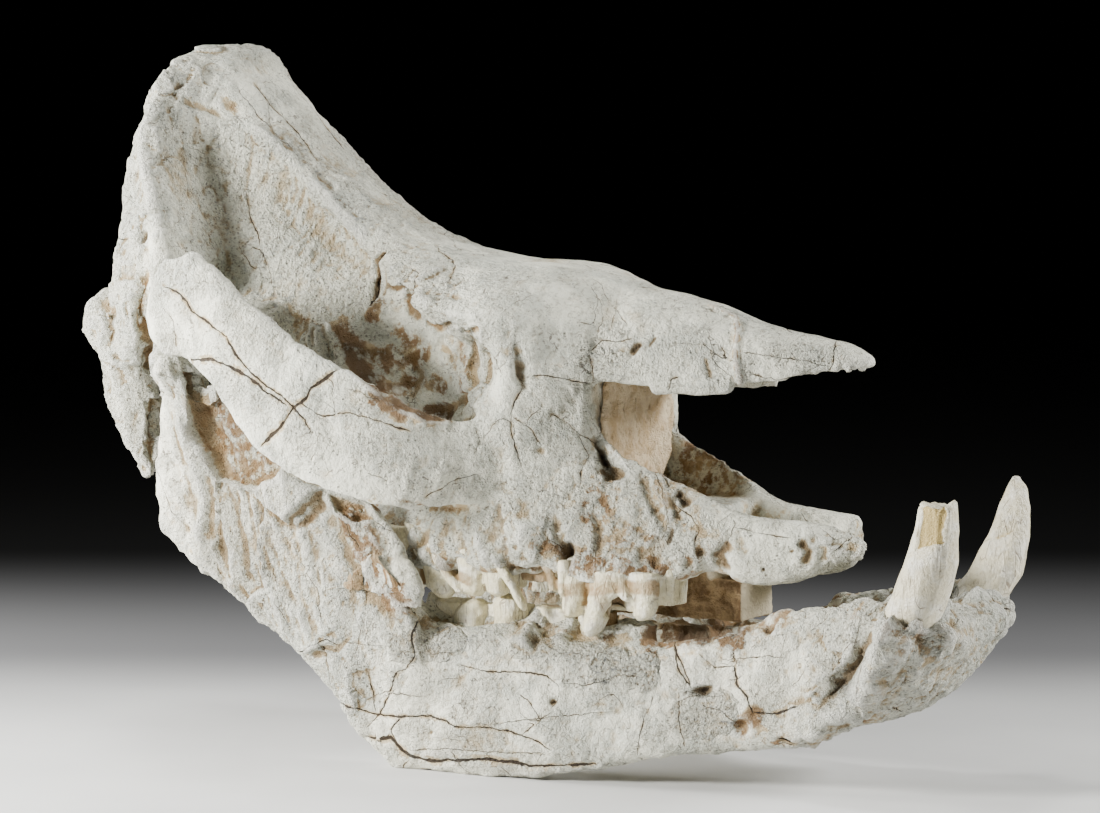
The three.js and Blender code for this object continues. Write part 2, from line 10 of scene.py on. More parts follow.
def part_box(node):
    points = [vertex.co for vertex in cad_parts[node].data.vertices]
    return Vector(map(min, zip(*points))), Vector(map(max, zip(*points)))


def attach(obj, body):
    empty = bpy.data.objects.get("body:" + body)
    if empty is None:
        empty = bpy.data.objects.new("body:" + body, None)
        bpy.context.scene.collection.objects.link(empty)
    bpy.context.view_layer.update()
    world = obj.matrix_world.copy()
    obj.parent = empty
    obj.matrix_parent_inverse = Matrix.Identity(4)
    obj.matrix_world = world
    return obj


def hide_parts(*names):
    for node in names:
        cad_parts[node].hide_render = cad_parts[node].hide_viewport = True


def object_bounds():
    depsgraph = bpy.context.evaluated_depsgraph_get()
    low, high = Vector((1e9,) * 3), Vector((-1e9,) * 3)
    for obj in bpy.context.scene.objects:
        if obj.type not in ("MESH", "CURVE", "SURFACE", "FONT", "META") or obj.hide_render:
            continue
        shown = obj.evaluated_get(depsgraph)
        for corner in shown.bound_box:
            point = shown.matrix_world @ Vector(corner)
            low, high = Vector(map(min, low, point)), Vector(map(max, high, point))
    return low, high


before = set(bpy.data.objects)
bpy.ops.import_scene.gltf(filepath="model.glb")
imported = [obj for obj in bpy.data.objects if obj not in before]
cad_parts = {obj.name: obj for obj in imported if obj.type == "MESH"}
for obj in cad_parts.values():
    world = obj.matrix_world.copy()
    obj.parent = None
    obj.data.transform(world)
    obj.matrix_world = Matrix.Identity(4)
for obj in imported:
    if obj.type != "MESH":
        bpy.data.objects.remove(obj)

CAD_BOX = [list(corner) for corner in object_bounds()]

# ---------------------------------------------------------------- studio
# A pale floor under soft lamps: a broad key and a side lamp from the left, a weak one from above, and
# a strip behind on the right. The floor carries painted shade that darkens it to black away from the camera.
# Sizes are millimetres from the skull's own cross plane; place() sets them in the frame.
TUSK_TIP = 285.0
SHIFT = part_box("tusk_right")[1][0] * 1000 - TUSK_TIP
EYE = Vector((947.07, -1640.38, 357.27))
AIM = Vector((0, 0, 208.2))
LAMP_AIM = (-10, 0, 210)
VIEW_WIDTH, VIEW_HEIGHT, VIEW_FOCAL = 1100, 813, 3192
SENSOR = 36
FLOOR_HALF_WIDTH = 6
FLOOR_GREY, FLOOR_PALE = (0.6, 0.6, 0.6, 1), (0.66, 0.66, 0.655, 1)
FLOOR_SHADE, FLOOR_SHADE_BLACK = (0.13, 0.13, 0.135, 1), (0.0, 0.0, 0.0, 1)


def place(x, y, z):
    return Vector(((x + SHIFT) / 1000, y / 1000, z / 1000))


def look_at(obj, target):
    obj.rotation_mode = "QUATERNION"
    obj.rotation_quaternion = (target - obj.location).to_track_quat("-Z", "Y")


camera = bpy.data.objects.new("camera", bpy.data.cameras.new("camera"))
bpy.context.collection.objects.link(camera)
camera.location = place(*EYE)
look_at(camera, place(*AIM))
camera.data.sensor_width = SENSOR
camera.data.lens = SENSOR * VIEW_FOCAL / VIEW_WIDTH
camera.data.clip_end = 50
bpy.context.scene.camera = camera


def soft_lamp(name, spot, size, watts, colour):
    data = bpy.data.lights.new(name, "AREA")
    data.shape = "DISK"
    data.size, data.energy, data.color = size, watts, colour
    lamp = bpy.data.objects.new(name, data)
    bpy.context.collection.objects.link(lamp)
    lamp.location = place(*spot)
    look_at(lamp, place(*LAMP_AIM))


soft_lamp("key", (-640, -960, 520), 0.3, 38, (1.0, 0.995, 0.95))
soft_lamp("side", (-1300, -420, 420), 0.35, 40, (1.0, 0.995, 0.96))
soft_lamp("top", (-400, 0, 1700), 0.4, 13, (1.0, 1.0, 0.975))
soft_lamp("strip", (1250, 650, 700), 0.5, 36, (1.0, 1.0, 0.97))

room = bpy.data.worlds.new("room")
bpy.context.scene.world = room
room.use_nodes = True
room.node_tree.nodes["Background"].inputs["Color"].default_value = (0, 0, 0, 1)


class Wiring:
    """Adds shader nodes to a tree; a size is the width of a pattern in millimetres."""

    def __init__(self, tree):
        self.tree = tree

    def node(self, kind, inputs=(), **settings):
        made = self.tree.nodes.new(kind)
        for key, value in settings.items():
            setattr(made, key, value)
        for key, value in dict(inputs).items():
            if isinstance(value, bpy.types.NodeSocket):
                self.tree.links.new(value, made.inputs[key])
            else:
                made.inputs[key].default_value = value
        return made

    def place(self, stretch=(1, 1, 1), turn=(0, 0, 0)):
        coords = self.node("ShaderNodeTexCoord").outputs["Object"]
        moved = self.node("ShaderNodeMapping", {"Vector": coords, "Scale": stretch, "Rotation": turn})
        return moved.outputs[0]

    def noise(self, where, size, detail=3.0, roughness=0.55, colour=False):
        made = self.node("ShaderNodeTexNoise", {"Vector": where, "Scale": 1000 / size,
                                                "Detail": detail, "Roughness": roughness})
        return made.outputs["Color" if colour else "Fac"]

    def cells(self, where, size, feature="F1"):
        made = self.node("ShaderNodeTexVoronoi", {"Vector": where, "Scale": 1000 / size}, feature=feature)
        return made.outputs["Distance"]

    def calc(self, operation, a, b=0.0, c=0.0):
        return self.node("ShaderNodeMath", {0: a, 1: b, 2: c}, operation=operation).outputs[0]

    def vector(self, operation, a, b):
        return self.node("ShaderNodeVectorMath", {0: a, 1: b}, operation=operation).outputs[0]

    def fade(self, value, low, high, start=0.0, end=1.0):
        made = self.node("ShaderNodeMapRange", {"Value": value, "From Min": low, "From Max": high,
                                                "To Min": start, "To Max": end},
                         interpolation_type="SMOOTHSTEP")
        return made.outputs[0]

    def blend(self, amount, a, b, kind="MIX"):
        made = self.node("ShaderNodeMix", {0: amount, 6: a, 7: b}, data_type="RGBA", blend_type=kind)
        return made.outputs[2]

    def attribute(self, name, output="Vector"):
        return self.node("ShaderNodeAttribute", attribute_name=name).outputs[output]

    def parts(self, vector):
        return list(self.node("ShaderNodeSeparateXYZ", {0: vector}).outputs)


def blank_material(name):
    material = bpy.data.materials.new(name)
    material.use_nodes = True
    tree = material.node_tree
    return material, Wiring(tree), tree.nodes["Principled BSDF"]


floor_material, wiring, surface = blank_material("pale_floor")
spots = wiring.place()
shade = wiring.fade(wiring.noise(spots, 260, 4), 0.35, 0.7)
pale = wiring.blend(shade, FLOOR_GREY, FLOOR_PALE)
# painted shade: the floor grows dark and then black away from the camera
away = wiring.parts(wiring.place(turn=(0, 0, math.radians(-30))))[1]
near = wiring.blend(wiring.fade(away, -0.02, 0.4), pale, FLOOR_SHADE)
wiring.tree.links.new(wiring.blend(wiring.fade(away, 0.3, 1.0), near, FLOOR_SHADE_BLACK),
                      surface.inputs["Base Color"])
surface.inputs["Roughness"].default_value = 0.9
surface.inputs["Specular IOR Level"].default_value = 0.1
bm = bmesh.new()
bmesh.ops.create_grid(bm, x_segments=1, y_segments=1, size=FLOOR_HALF_WIDTH)
floor_mesh = bpy.data.meshes.new("floor")
bm.to_mesh(floor_mesh)
bm.free()
floor_mesh.materials.append(floor_material)
floor = bpy.data.objects.new("floor", floor_mesh)
bpy.context.collection.objects.link(floor)

# ---------------------------------------------------------------- cranium
# In life the cranium is one fused shell of bone. Its solids are welded into one skin and carved as a
# whole, then parted again near the sutures, so that no seam shows where two bones meet.
CRANIUM = ["zygomatic_arch_right", "zygomatic_arch_left", "nasals", "premaxilla_right", "premaxilla_left",
           "maxilla_right", "maxilla_left", "frontals", "occiput", "braincase"]
GUM_LINE = 116.5
SKIN_VOXEL, SKIN_SMOOTHING = 3.0, 14
WELD_GROWTH = 0.25
CRACK_BAND = 5.0
MIRROR_DRIFT = 14.0
HAIR_STEP, HAIR_DEPTH = 3, 0.15
STRETCH = 12
CLEARANCE = 0.15
FORWARD = (AIM - EYE).normalized()
RIGHT = FORWARD.cross(Vector((0, 0, 1))).normalized()
UP = RIGHT.cross(FORWARD)


def millimetres(spot):
    """The skull's own sizes for a spot in the frame; the reverse of place()."""
    return spot.x * 1000 - SHIFT, spot.y * 1000, spot.z * 1000


def as_line(found):
    """Points and normals, from rows that hold both."""
    found = np.array(found).reshape(-1, 6)
    return found[:, :3], found[:, 3:]


def baked(obj):
    """Replaces the object's mesh by the one that its modifiers make."""
    graph = bpy.context.evaluated_depsgraph_get()
    made = bpy.data.meshes.new_from_object(obj.evaluated_get(graph), preserve_all_data_layers=True,
                                           depsgraph=graph)
    obj.modifiers.clear()
    obj.data = made
    return obj


def new_object(name, bm):
    mesh = bpy.data.meshes.new(name)
    bm.to_mesh(mesh)
    bm.free()
    obj = bpy.data.objects.new(name, mesh)
    bpy.context.collection.objects.link(obj)
    return obj


def ramp(values, zero, one):
    """0 where values reach zero, 1 where they reach one, even between them."""
    return np.clip((values - zero) / (one - zero), 0, 1)


def hump(values, middle, reach):
    """1 at the middle, falling evenly to 0 at a distance of reach."""
    return np.clip(1 - np.abs(values - middle) / reach, 0, 1)


def lattice(cell, seed):
    """A fixed value from -1 to 1 for each whole-numbered cell."""
    h = (cell[0] * 73856093) ^ (cell[1] * 19349663) ^ (cell[2] * 83492791) ^ (seed * 40503)
    h = ((h ^ (h >> 13)) * 1274126177) & 0xFFFFFFFF
    h = ((h ^ (h >> 15)) * 2246822519) & 0xFFFFFFFF
    return ((h ^ (h >> 16)) & 0xFFFF) / 32767.5 - 1


def roughness_at(points, size, seed=0):
    """Smooth random relief from -1 to 1, with lumps about as wide as size."""
    q = points / size + seed * 7.31
    base = np.floor(q).astype(np.int64)
    f = q - base
    f = f * f * (3 - 2 * f)
    total = np.zeros(len(points))
    for corner in range(8):
        bit = [(corner >> k) & 1 for k in range(3)]
        weight = np.prod([f[:, k] if bit[k] else 1 - f[:, k] for k in range(3)], axis=0)
        total += weight * lattice([base[:, k] + bit[k] for k in range(3)], seed)
    return total


def layered(points, size, layers, seed=0, keep=0.55):
    """Random relief with finer and weaker layers on top of the coarse one."""
    return sum(roughness_at(points, size / 2 ** k, seed + k) * keep ** k for k in range(layers))


def ridged(points, size, layers, seed=0, keep=0.5):
    """Relief with sharp crests and round hollows, as on bone where muscle or gum held."""
    parts = [(0.5 - np.abs(roughness_at(points, size / 2 ** k, seed + k))) * keep ** k for k in range(layers)]
    return 2 * sum(parts)


def rubble(points, size, seed=0):
    """Flat-topped random steps, one for each of a jumble of chunks about as wide as size."""
    q = points / size + 0.35 * np.stack([roughness_at(points, size, seed + k) for k in range(3)], 1)
    base = np.floor(q).astype(np.int64)
    nearest, value = np.full(len(points), 9.0), np.zeros(len(points))
    for corner in np.ndindex(3, 3, 3):
        cell = [base[:, k] + corner[k] - 1 for k in range(3)]
        heart = np.stack([cell[k] + 0.5 + 0.45 * lattice(cell, seed + 11 + k) for k in range(3)], 1)
        d = ((q - heart) ** 2).sum(1)
        closer = d < nearest
        nearest[closer] = d[closer]
        value[closer] = lattice(cell, seed + 29)[closer]
    return value


def along_fibres(points, direction, stretch):
    """Squeezes space along a direction, so that noise read there comes out as fibres."""
    d = np.asarray(direction, float)
    d /= np.linalg.norm(d)
    return points + np.outer(points @ d, d) * (1 / stretch - 1)


def inside(points, centre, radii, soft=0.35):
    """1 deep inside an egg-shaped zone that both sides share, 0 outside it."""
    q = (points * (1, 0, 1) + np.abs(points) * (0, 1, 0) - centre) / radii
    return np.clip((1 - np.sqrt((q ** 2).sum(1))) / soft, 0, 1)


class Skin:
    """A closed bone surface in millimetres, with the tools that carve and stain it."""

    def __init__(self, obj):
        self.obj, self.mesh = obj, obj.data
        self.count = len(self.mesh.vertices)
        flat = np.empty(self.count * 3)
        self.mesh.vertices.foreach_get("co", flat)
        self.p = flat.reshape(-1, 3) * 1000
        self.p[:, 0] -= SHIFT
        pairs = np.empty(len(self.mesh.edges) * 2, dtype=np.int32)
        self.mesh.edges.foreach_get("vertices", pairs)
        self.a, self.b = pairs.reshape(-1, 2).T
        self.degree = np.bincount(self.a, minlength=self.count) + np.bincount(self.b, minlength=self.count)
        self.tone = np.zeros((self.count, 3))
        self.crack_side = np.full((self.count, 3), CRACK_BAND)
        self.crack_force = np.zeros((self.count, 3))
        self.refresh()

    def refresh(self):
        """Writes the points to the mesh and reads back its normals."""
        out = self.p.copy()
        out[:, 0] += SHIFT
        self.mesh.vertices.foreach_set("co", (out / 1000).ravel())
        self.mesh.update()
        flat = np.empty(self.count * 3)
        self.mesh.vertices.foreach_get("normal", flat)
        self.n = flat.reshape(-1, 3)

    def around(self, values):
        """The mean of each vertex's neighbours."""
        flat = values.reshape(self.count, -1)
        total = [np.bincount(self.a, column[self.b], self.count)
                 + np.bincount(self.b, column[self.a], self.count) for column in flat.T]
        return (np.stack(total, 1) / self.degree[:, None]).reshape(values.shape)

    def smooth(self, rounds):
        """Evens out the surface without shrinking it."""
        for k in range(rounds):
            for step in (0.55, -0.57):
                self.p += (self.around(self.p) - self.p) * step
        self.refresh()

    def survey(self):
        """Keeps the uncarved surface, on which every mark is found and measured."""
        self.rest, self.rest_n = self.p.copy(), self.n.copy()
        self.tree = BVHTree.FromObject(self.obj, bpy.context.evaluated_depsgraph_get())

    def press(self, relief, zone=None):
        """Pushes the surface out by a relief, everywhere or in a zone only, where it also grows coarser."""
        near = slice(None) if zone is None else np.flatnonzero(zone > 0.02)
        if zone is not None:
            self.tone[near, 2] = np.maximum(self.tone[near, 2], zone[near] * 0.6)
        weight = 1.0 if zone is None else zone[near]
        self.p[near] += self.n[near] * (relief(self.rest[near]) * weight)[:, None]

    def trace(self, marks, step=2.5):
        """Points and normals where lines of sight through the marks of the main view meet the skin."""
        spots = [marks[0]]
        for (x0, y0), (x1, y1) in zip(marks, marks[1:]):
            n = max(1, round(math.hypot(x1 - x0, y1 - y0) / step))
            spots += [(x0 + (x1 - x0) * k / n, y0 + (y1 - y0) * k / n) for k in range(1, n + 1)]
        found = []
        for px, py in spots:
            ray = FORWARD + (RIGHT * (px - VIEW_WIDTH / 2) + UP * (VIEW_HEIGHT / 2 - py)) / VIEW_FOCAL
            spot, normal = self.tree.ray_cast(place(*EYE), ray.normalized())[:2]
            if spot is not None:
                found.append((*millimetres(spot), *normal))
        return as_line(found)

    def mirrored(self, line, drift=0.0, seed=0):
        """The same line on the other side, moved by a drift so that the sides differ."""
        rng = np.random.default_rng(seed)
        wander = rng.uniform(-1, 1, 3) * drift
        found = []
        for p in line[0] * (1, -1, 1) + wander:
            spot, normal = self.tree.find_nearest(place(*p))[:2]
            found.append((*millimetres(spot), *normal))
        return as_line(found)

    def reach(self, line, radius):
        """Vertices near a line: their numbers, distance, signed side and place along it from 0 to 1."""
        points, normals = line
        if len(points) == 0:
            return None
        if len(points) == 1:
            points, normals = points[[0, 0]] + [[0, 0, 0], [0, 0, 0.01]], normals[[0, 0]]
        box = ((self.rest > points.min(0) - radius) & (self.rest < points.max(0) + radius)).all(1)
        pool = np.flatnonzero(box)
        here, facing = self.rest[pool], self.rest_n[pool]
        best, side, along = np.full(len(pool), float(radius)), np.zeros(len(pool)), np.zeros(len(pool))
        total = len(points) - 1
        for start in range(0, total, STRETCH):
            part = points[start:start + STRETCH + 1]
            near = np.flatnonzero(((here > part.min(0) - radius) & (here < part.max(0) + radius)).all(1))
            if not len(near):
                continue
            a, ab = part[:-1], np.diff(part, axis=0)
            q = here[near]
            t = ((q[:, None] - a) * ab).sum(2) / np.maximum((ab ** 2).sum(1), 1e-9)
            t = np.clip(t, 0, 1)
            gap = q[:, None] - (a + t[..., None] * ab)
            far = np.sqrt((gap ** 2).sum(2))
            k = far.argmin(1)
            rows = np.arange(len(near))
            d, gap, t = far[rows, k], gap[rows, k], t[rows, k]
            ok = (d < best[near]) & ((facing[near] * normals[start + k]).sum(1) > 0.1)
            across = np.cross(facing[near], ab[k])
            best[near[ok]] = d[ok]
            side[near[ok]] = np.sign((across * gap).sum(1))[ok]
            along[near[ok]] = ((start + k + t) / total)[ok]
        ok = best < radius
        return pool[ok], best[ok], side[ok], along[ok]

    def lines(self, marks, both, drift=0.0, seed=0):
        line = self.trace(marks)
        return [line, self.mirrored(line, drift, seed)] if both and len(line[0]) else [line]

    def groove(self, width, depth, stain, dark, marks, both=True, taper=True):
        """A hollow along a line of marks; a negative depth raises a ridge."""
        for line in self.lines(marks, both):
            hit = self.reach(line, width)
            if hit is None:
                continue
            near, d, side, along = hit
            ragged = 0.25 * width * np.clip(roughness_at(self.rest[near], 4, 8), 0, 1)
            d = np.clip(d * (1 + 0.3 * layered(self.rest[near], 6, 2, 5)) + ragged, 0, width)
            fall = (1 - (d / width) ** 2) ** 2
            length = np.linalg.norm(np.diff(line[0], axis=0), axis=1).sum()
            if taper and length > 3 * width:
                fall = fall * np.clip(np.minimum(along, 1 - along) * length / (1.6 * width), 0.1, 1)
            self.p[near] -= self.rest_n[near] * (depth * fall)[:, None]
            self.tone[near, 0] = np.maximum(self.tone[near, 0], stain * fall ** 0.7)
            self.tone[near, 1] = np.maximum(self.tone[near, 1], dark * fall)

    def tint(self, radius, stain, dark, grain, marks, both=True):
        """Colours the skin along a line of marks: warm brown stain with painted shade, near black painted
        shade, or coarse.
        """
        for line in self.lines(marks, both):
            hit = self.reach(line, radius)
            if hit is None:
                continue
            near, d = hit[:2]
            d = np.clip(d * (1 + 0.35 * layered(self.rest[near], 9, 3, 6)), 0, radius)
            fall = np.clip(1.4 * (1 - (d / radius) ** 2), 0, 1)
            for k, value in enumerate((stain, dark, grain)):
                self.tone[near, k] = np.maximum(self.tone[near, k], value * fall)

    def sink(self, outline, depth, soft=4.0, stain=0.0, least=40.0, both=True):
        """Lowers the outer surface inside an outline of marks; a negative depth raises it."""
        pool = np.flatnonzero((np.abs(self.rest[:, 1]) > least) & (both | (self.rest[:, 1] < 0))
                              & (self.rest_n[:, 1] * np.sign(self.rest[:, 1]) > 0.05))
        q = self.rest[pool] * (1, 0, 1) - np.abs(self.rest[pool]) * (0, 1, 0) - np.array(EYE)
        deep = q @ np.array(FORWARD)
        at = np.stack([VIEW_WIDTH / 2 + VIEW_FOCAL * (q @ np.array(RIGHT)) / deep,
                       VIEW_HEIGHT / 2 - VIEW_FOCAL * (q @ np.array(UP)) / deep], 1)
        at += 2.0 * layered(self.rest[pool], 9, 3, 19)[:, None]
        within, far = np.zeros(len(pool), bool), np.full(len(pool), 1e9)
        for a, b in zip(np.array(outline, float), np.roll(np.array(outline, float), -1, 0)):
            t = np.clip(((at - a) @ (b - a)) / ((b - a) @ (b - a)), 0, 1)
            far = np.minimum(far, np.linalg.norm(at - a - t[:, None] * (b - a), axis=1))
            within ^= ((a[1] > at[:, 1]) != (b[1] > at[:, 1])) & (
                at[:, 0] < a[0] + (b[0] - a[0]) * (at[:, 1] - a[1]) / (b[1] - a[1] + 1e-9))
        weight = np.clip(far / soft, 0, 1) * within
        weight = weight * weight * (3 - 2 * weight)
        self.p[pool] -= self.rest_n[pool] * (depth * weight)[:, None]
        self.tone[pool, 0] = np.maximum(self.tone[pool, 0], stain * weight)

    def crack(self, channel, half_width, depth, marks, both=True):
        """A thin open crack along a line of marks."""
        for line in self.lines(marks, both, MIRROR_DRIFT, 1 + len(marks)):
            self.split(line, channel, half_width, depth)

    def split(self, line, channel, half_width, depth):
        """Opens one crack: its exact place is kept as a signed distance for the material to draw."""
        hit = self.reach(line, CRACK_BAND)
        if hit is None:
            return
        near, d, side, along = hit
        edge = np.clip(np.minimum(along, 1 - along) / 0.06, 0, 1)
        force = half_width * (0.35 + 0.65 * edge) * (d < CRACK_BAND * 0.75)
        force *= ((along > 0) & (along < 1)) | (d < 1.2)
        nearer = d < np.abs(self.crack_side[near, channel])
        near, d, side, force = near[nearer], d[nearer], side[nearer], force[nearer]
        self.crack_side[near, channel] = d * np.where(side == 0, 1, side)
        self.crack_force[near, channel] = force
        wide = 1.5 + half_width
        self.p[near] -= self.rest_n[near] * (depth * np.clip(1 - d / wide, 0, 1))[:, None]

    def hairlines(self, zone, grain, count, length, seed):
        """Short drying cracks that wander along the grain of the bone, or now and then across it."""
        rng = np.random.default_rng(seed)
        starts = rng.choice(np.flatnonzero(zone), count)
        grain = np.array(grain, float)
        for start in starts:
            heading = np.cross(grain, self.rest_n[start]) if rng.random() < 0.25 else grain
            heading = heading / (np.linalg.norm(heading) + 1e-9) * rng.choice((-1, 1))
            spot, found = self.rest[start], []
            for step in range(int(rng.uniform(0.4, 1.0) * length / HAIR_STEP)):
                on, normal = self.tree.find_nearest(place(*spot))[:2]
                spot = np.array(millimetres(on))
                found.append((*spot, *normal))
                heading = heading + rng.normal(0, 0.33, 3)
                heading = heading - np.dot(heading, normal) * np.array(normal)
                heading = heading / (np.linalg.norm(heading) + 1e-9)
                spot = spot + heading * HAIR_STEP
            if len(found) > 2:
                self.split(as_line(found), int(rng.integers(3)), rng.uniform(0.14, 0.3), HAIR_DEPTH)

    def fit(self, margin=9.0):
        """Eases in whatever weathering pushed past the solids' own box, and flattens it on the floor."""
        low, high = (np.array(corner) * 1000 - (SHIFT, 0, 0) for corner in CAD_BOX)
        for k in range(3):
            for sign, limit in ((1, high[k] - CLEARANCE), (-1, -low[k] - (0 if k == 2 else CLEARANCE))):
                reach = sign * self.p[:, k]
                most, start = reach.max(), limit - margin
                if most > limit and k == 2 and sign < 0:
                    self.p[:, k] = np.maximum(self.p[:, k], 0.0)
                elif most > limit:
                    over = reach > start
                    self.p[over, k] = sign * (start + (reach[over] - start) * margin / (most - start))

    def finish(self):
        """Writes the carved shape, the stains, the cracks and how hollow each spot is."""
        self.fit()
        self.refresh()
        wide = self.p.copy()
        for k in range(24):
            wide += (self.around(wide) - wide) * 0.6
            if k == 5:
                near = wide.copy()
        hollow = ((wide - self.p) * self.n).sum(1) / 1.6 + ((near - self.p) * self.n).sum(1) / 0.7
        for name, values in (("tone", self.tone), ("crack_side", self.crack_side),
                             ("crack_force", self.crack_force), ("hollow", hollow)):
            kind, field = ("FLOAT", "value") if name == "hollow" else ("FLOAT_VECTOR", "vector")
            self.mesh.attributes.new(name, kind, "POINT").data.foreach_set(field, values.ravel())


def weld(obj, voxel):
    """Melts overlapping solids into one closed surface, in cells of voxel millimetres."""
    remesh = obj.modifiers.new("weld", "REMESH")
    remesh.mode = "VOXEL"
    remesh.voxel_size = voxel / 1000
    return baked(obj)


def welded_skin(name, nodes, voxel, rounds):
    """One closed skin round a set of solids, grown just enough to bridge the thin cuts between them."""
    bm = bmesh.new()
    for node in nodes:
        one = bmesh.new()
        one.from_mesh(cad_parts[node].data)
        bmesh.ops.remove_doubles(one, verts=one.verts, dist=2e-6)
        if node.startswith("maxilla"):
            bmesh.ops.bisect_plane(one, geom=one.verts[:] + one.edges[:] + one.faces[:], clear_inner=True,
                                   plane_co=place(0, 0, GUM_LINE), plane_no=(0, 0, 1))
            bmesh.ops.holes_fill(one, edges=[e for e in one.edges if e.is_boundary], sides=0)
            bmesh.ops.triangulate(one, faces=[f for f in one.faces if len(f.verts) > 4])
        one.normal_update()
        for v in one.verts:
            v.co += v.normal * (WELD_GROWTH / 1000)
        part = bpy.data.meshes.new(node + "_part")
        one.to_mesh(part)
        one.free()
        bm.from_mesh(part)
    obj = weld(new_object(name, bm), voxel)
    Skin(obj).smooth(rounds)
    finer = obj.modifiers.new("finer", "SUBSURF")
    finer.levels = finer.render_levels = 1
    return Skin(baked(obj))


cranium = welded_skin("cranium", CRANIUM, SKIN_VOXEL, SKIN_SMOOTHING)
x, y, z = cranium.p.T
# lower edge of the cheek bones crumbled, tip of the nose fuller, flaps of bone over the nasal opening
ragged_edge = ramp(z, 132, 122) * (x > -80) * (x < 140)
cranium.p[:, 2] += ragged_edge * (layered(cranium.p * (1, 1, 0.2), 15, 3, 17) * 2.6 + 1.5)
nose_tip = ramp(x, 186, 200) * (z > 215)
cranium.p += cranium.n * (2.2 * nose_tip)[:, None]
hanging_flap = (x > 92) & (x < 136) & (np.abs(y) > 14) & (z > 220)
cranium.p[:, 2] -= hanging_flap * ramp(z, 246, 237) * 5.0
# bone swollen round the tooth roots, and the top of the crest
swollen_gum = inside(cranium.p, (76, 64, 123), (42, 18, 13), 0.6)
cranium.p[:, 1] += 5.5 * swollen_gum * np.sign(cranium.p[:, 1])
cranium.p[:, 2] -= 3.5 * swollen_gum
crown = inside(cranium.p, (-226, 18, 424), (34, 44, 22), 1.0)
cranium.p += cranium.n * (6 * crown)[:, None]
# no edge of a solid shows in the temple or before the eye socket
temple_valley = inside(cranium.p, (-206, 46, 336), (46, 42, 96), 0.5)
before_socket = inside(cranium.p, (12, 78, 222), (17, 20, 34), 0.6)
soft = np.maximum(temple_valley, before_socket)
for k in range(160):
    cranium.p += (cranium.around(cranium.p) - cranium.p) * (0.7 * soft)[:, None]
cranium.smooth(3)
cranium.survey()

# Grooves and ridges: width and depth in millimetres (a negative depth raises a ridge), stain, dark (near
# black painted shade in a hole), and the course in pixels of the main view.
CREST_AND_NAPE = [
    (6, 2.4, 0.9, 0, [(219, 92), (232, 105), (245, 120)]),
    (7, -3.5, 0, 0, [(245, 120), (270, 140), (292, 160), (330, 200), (362, 237), (377, 257)]),
    (18, 3.5, 0, 0, [(262, 160), (296, 198), (330, 238), (358, 272)]),
    (6, -2.5, 0, 0, [(152, 112), (142, 140), (150, 185), (155, 208), (163, 246)]),
    (5, 2.6, 0.6, 0, [(180, 100), (197, 105), (215, 112), (228, 121)]),
    (6, 3.5, 0.5, 0, [(104, 288), (107, 317), (104, 352)]),
    (8, 6, 0.8, 0, [(147, 267), (142, 282), (140, 300), (145, 325), (149, 350), (155, 392), (155, 433),
        (155, 467)]),
    (4, 2, 0.8, 0, [(134, 228)]),
    (4, 2, 0.8, 0, [(123, 252)]),
]
# sharp rim, broken blocks above it, a boss inside
EYE_SOCKET = [
    (4, -1.6, 0, 0, [(480, 327), (484, 355), (486, 385), (478, 405), (462, 418), (445, 424), (425, 423),
        (405, 413), (385, 400), (362, 384), (345, 371)]),
    (4, 3, 0.7, 0.15, [(425, 320), (437, 328), (452, 322), (466, 330), (480, 330)]),
    (6, 4, 0.35, 0, [(470, 335), (474, 360), (472, 385), (462, 400), (446, 410), (425, 410)]),
    (8, -2.2, 0, 0, [(392, 272)]),
    (7, -2, 0, 0, [(397, 298)]),
    (11, -3, 0, 0, [(422, 300)]),
    (2.6, 2.6, 1, 0.5, [(385, 249), (375, 262), (377, 277), (376, 295), (370, 300)]),
    (4.5, 3.5, 1, 0.4, [(410, 285), (407, 300), (410, 312), (422, 317)]),
    (2.6, 2.2, 1, 0.5, [(385, 285), (395, 289), (407, 287)]),
    (3.5, 3.5, 1, 0.8, [(407, 287)]),
    (4.5, 3, 1, 0.2, [(377, 304)]),
    (4, 1.4, 0.7, 0, [(447, 290), (462, 300)]),
    (12, -4, 0, 0, [(400, 386)]),
    (6, 2.5, 0.8, 0, [(424, 345), (412, 360), (420, 378), (408, 398)]),
    (7, 3, 0.9, 0, [(352, 345), (372, 352), (395, 350)]),
    (6, 1.8, 0.6, 0, [(438, 338), (450, 360), (466, 372)]),
    (6, 2.5, 1, 0.2, [(372, 388), (392, 403), (415, 412)]),
]
BEFORE_THE_SOCKET = [
    (14, 1.4, 0, 0, [(503, 318), (512, 342), (518, 365), (522, 392)]),
    (6, 3.6, 0.3, 0.6, [(517, 350), (521, 368), (524, 384), (521, 392)]),
    (5, 1.6, 0.3, 0.15, [(509, 322), (504, 345), (508, 366)]),
    (9, 2.2, 0, 0, [(516, 400), (508, 430), (512, 458)]),
    (6, 1.6, 0, 0.15, [(512, 335), (519, 350)]),
    (14, -2.2, 0, 0, [(545, 380), (552, 398)]),
    (5, 1.5, 0, 0, [(541, 452)]),
    (8, 4.5, 0.7, 0.6, [(599, 440), (603, 456), (613, 470)]),
    (5, 4.5, 0.6, 0.95, [(601, 446), (606, 460)]),
    (5, 2.5, 0.7, 0.4, [(612, 464), (620, 474)]),
    (4, 2, 0.6, 0, [(616, 458)]),
    (3.4, 3, 0.6, 0.85, [(634, 350), (639, 345)]),
    (4, 1.5, 0.4, 0.2, [(630, 354), (622, 350)]),
    (2.2, 1.6, 0, 0.5, [(655, 338), (650, 345)]),
]
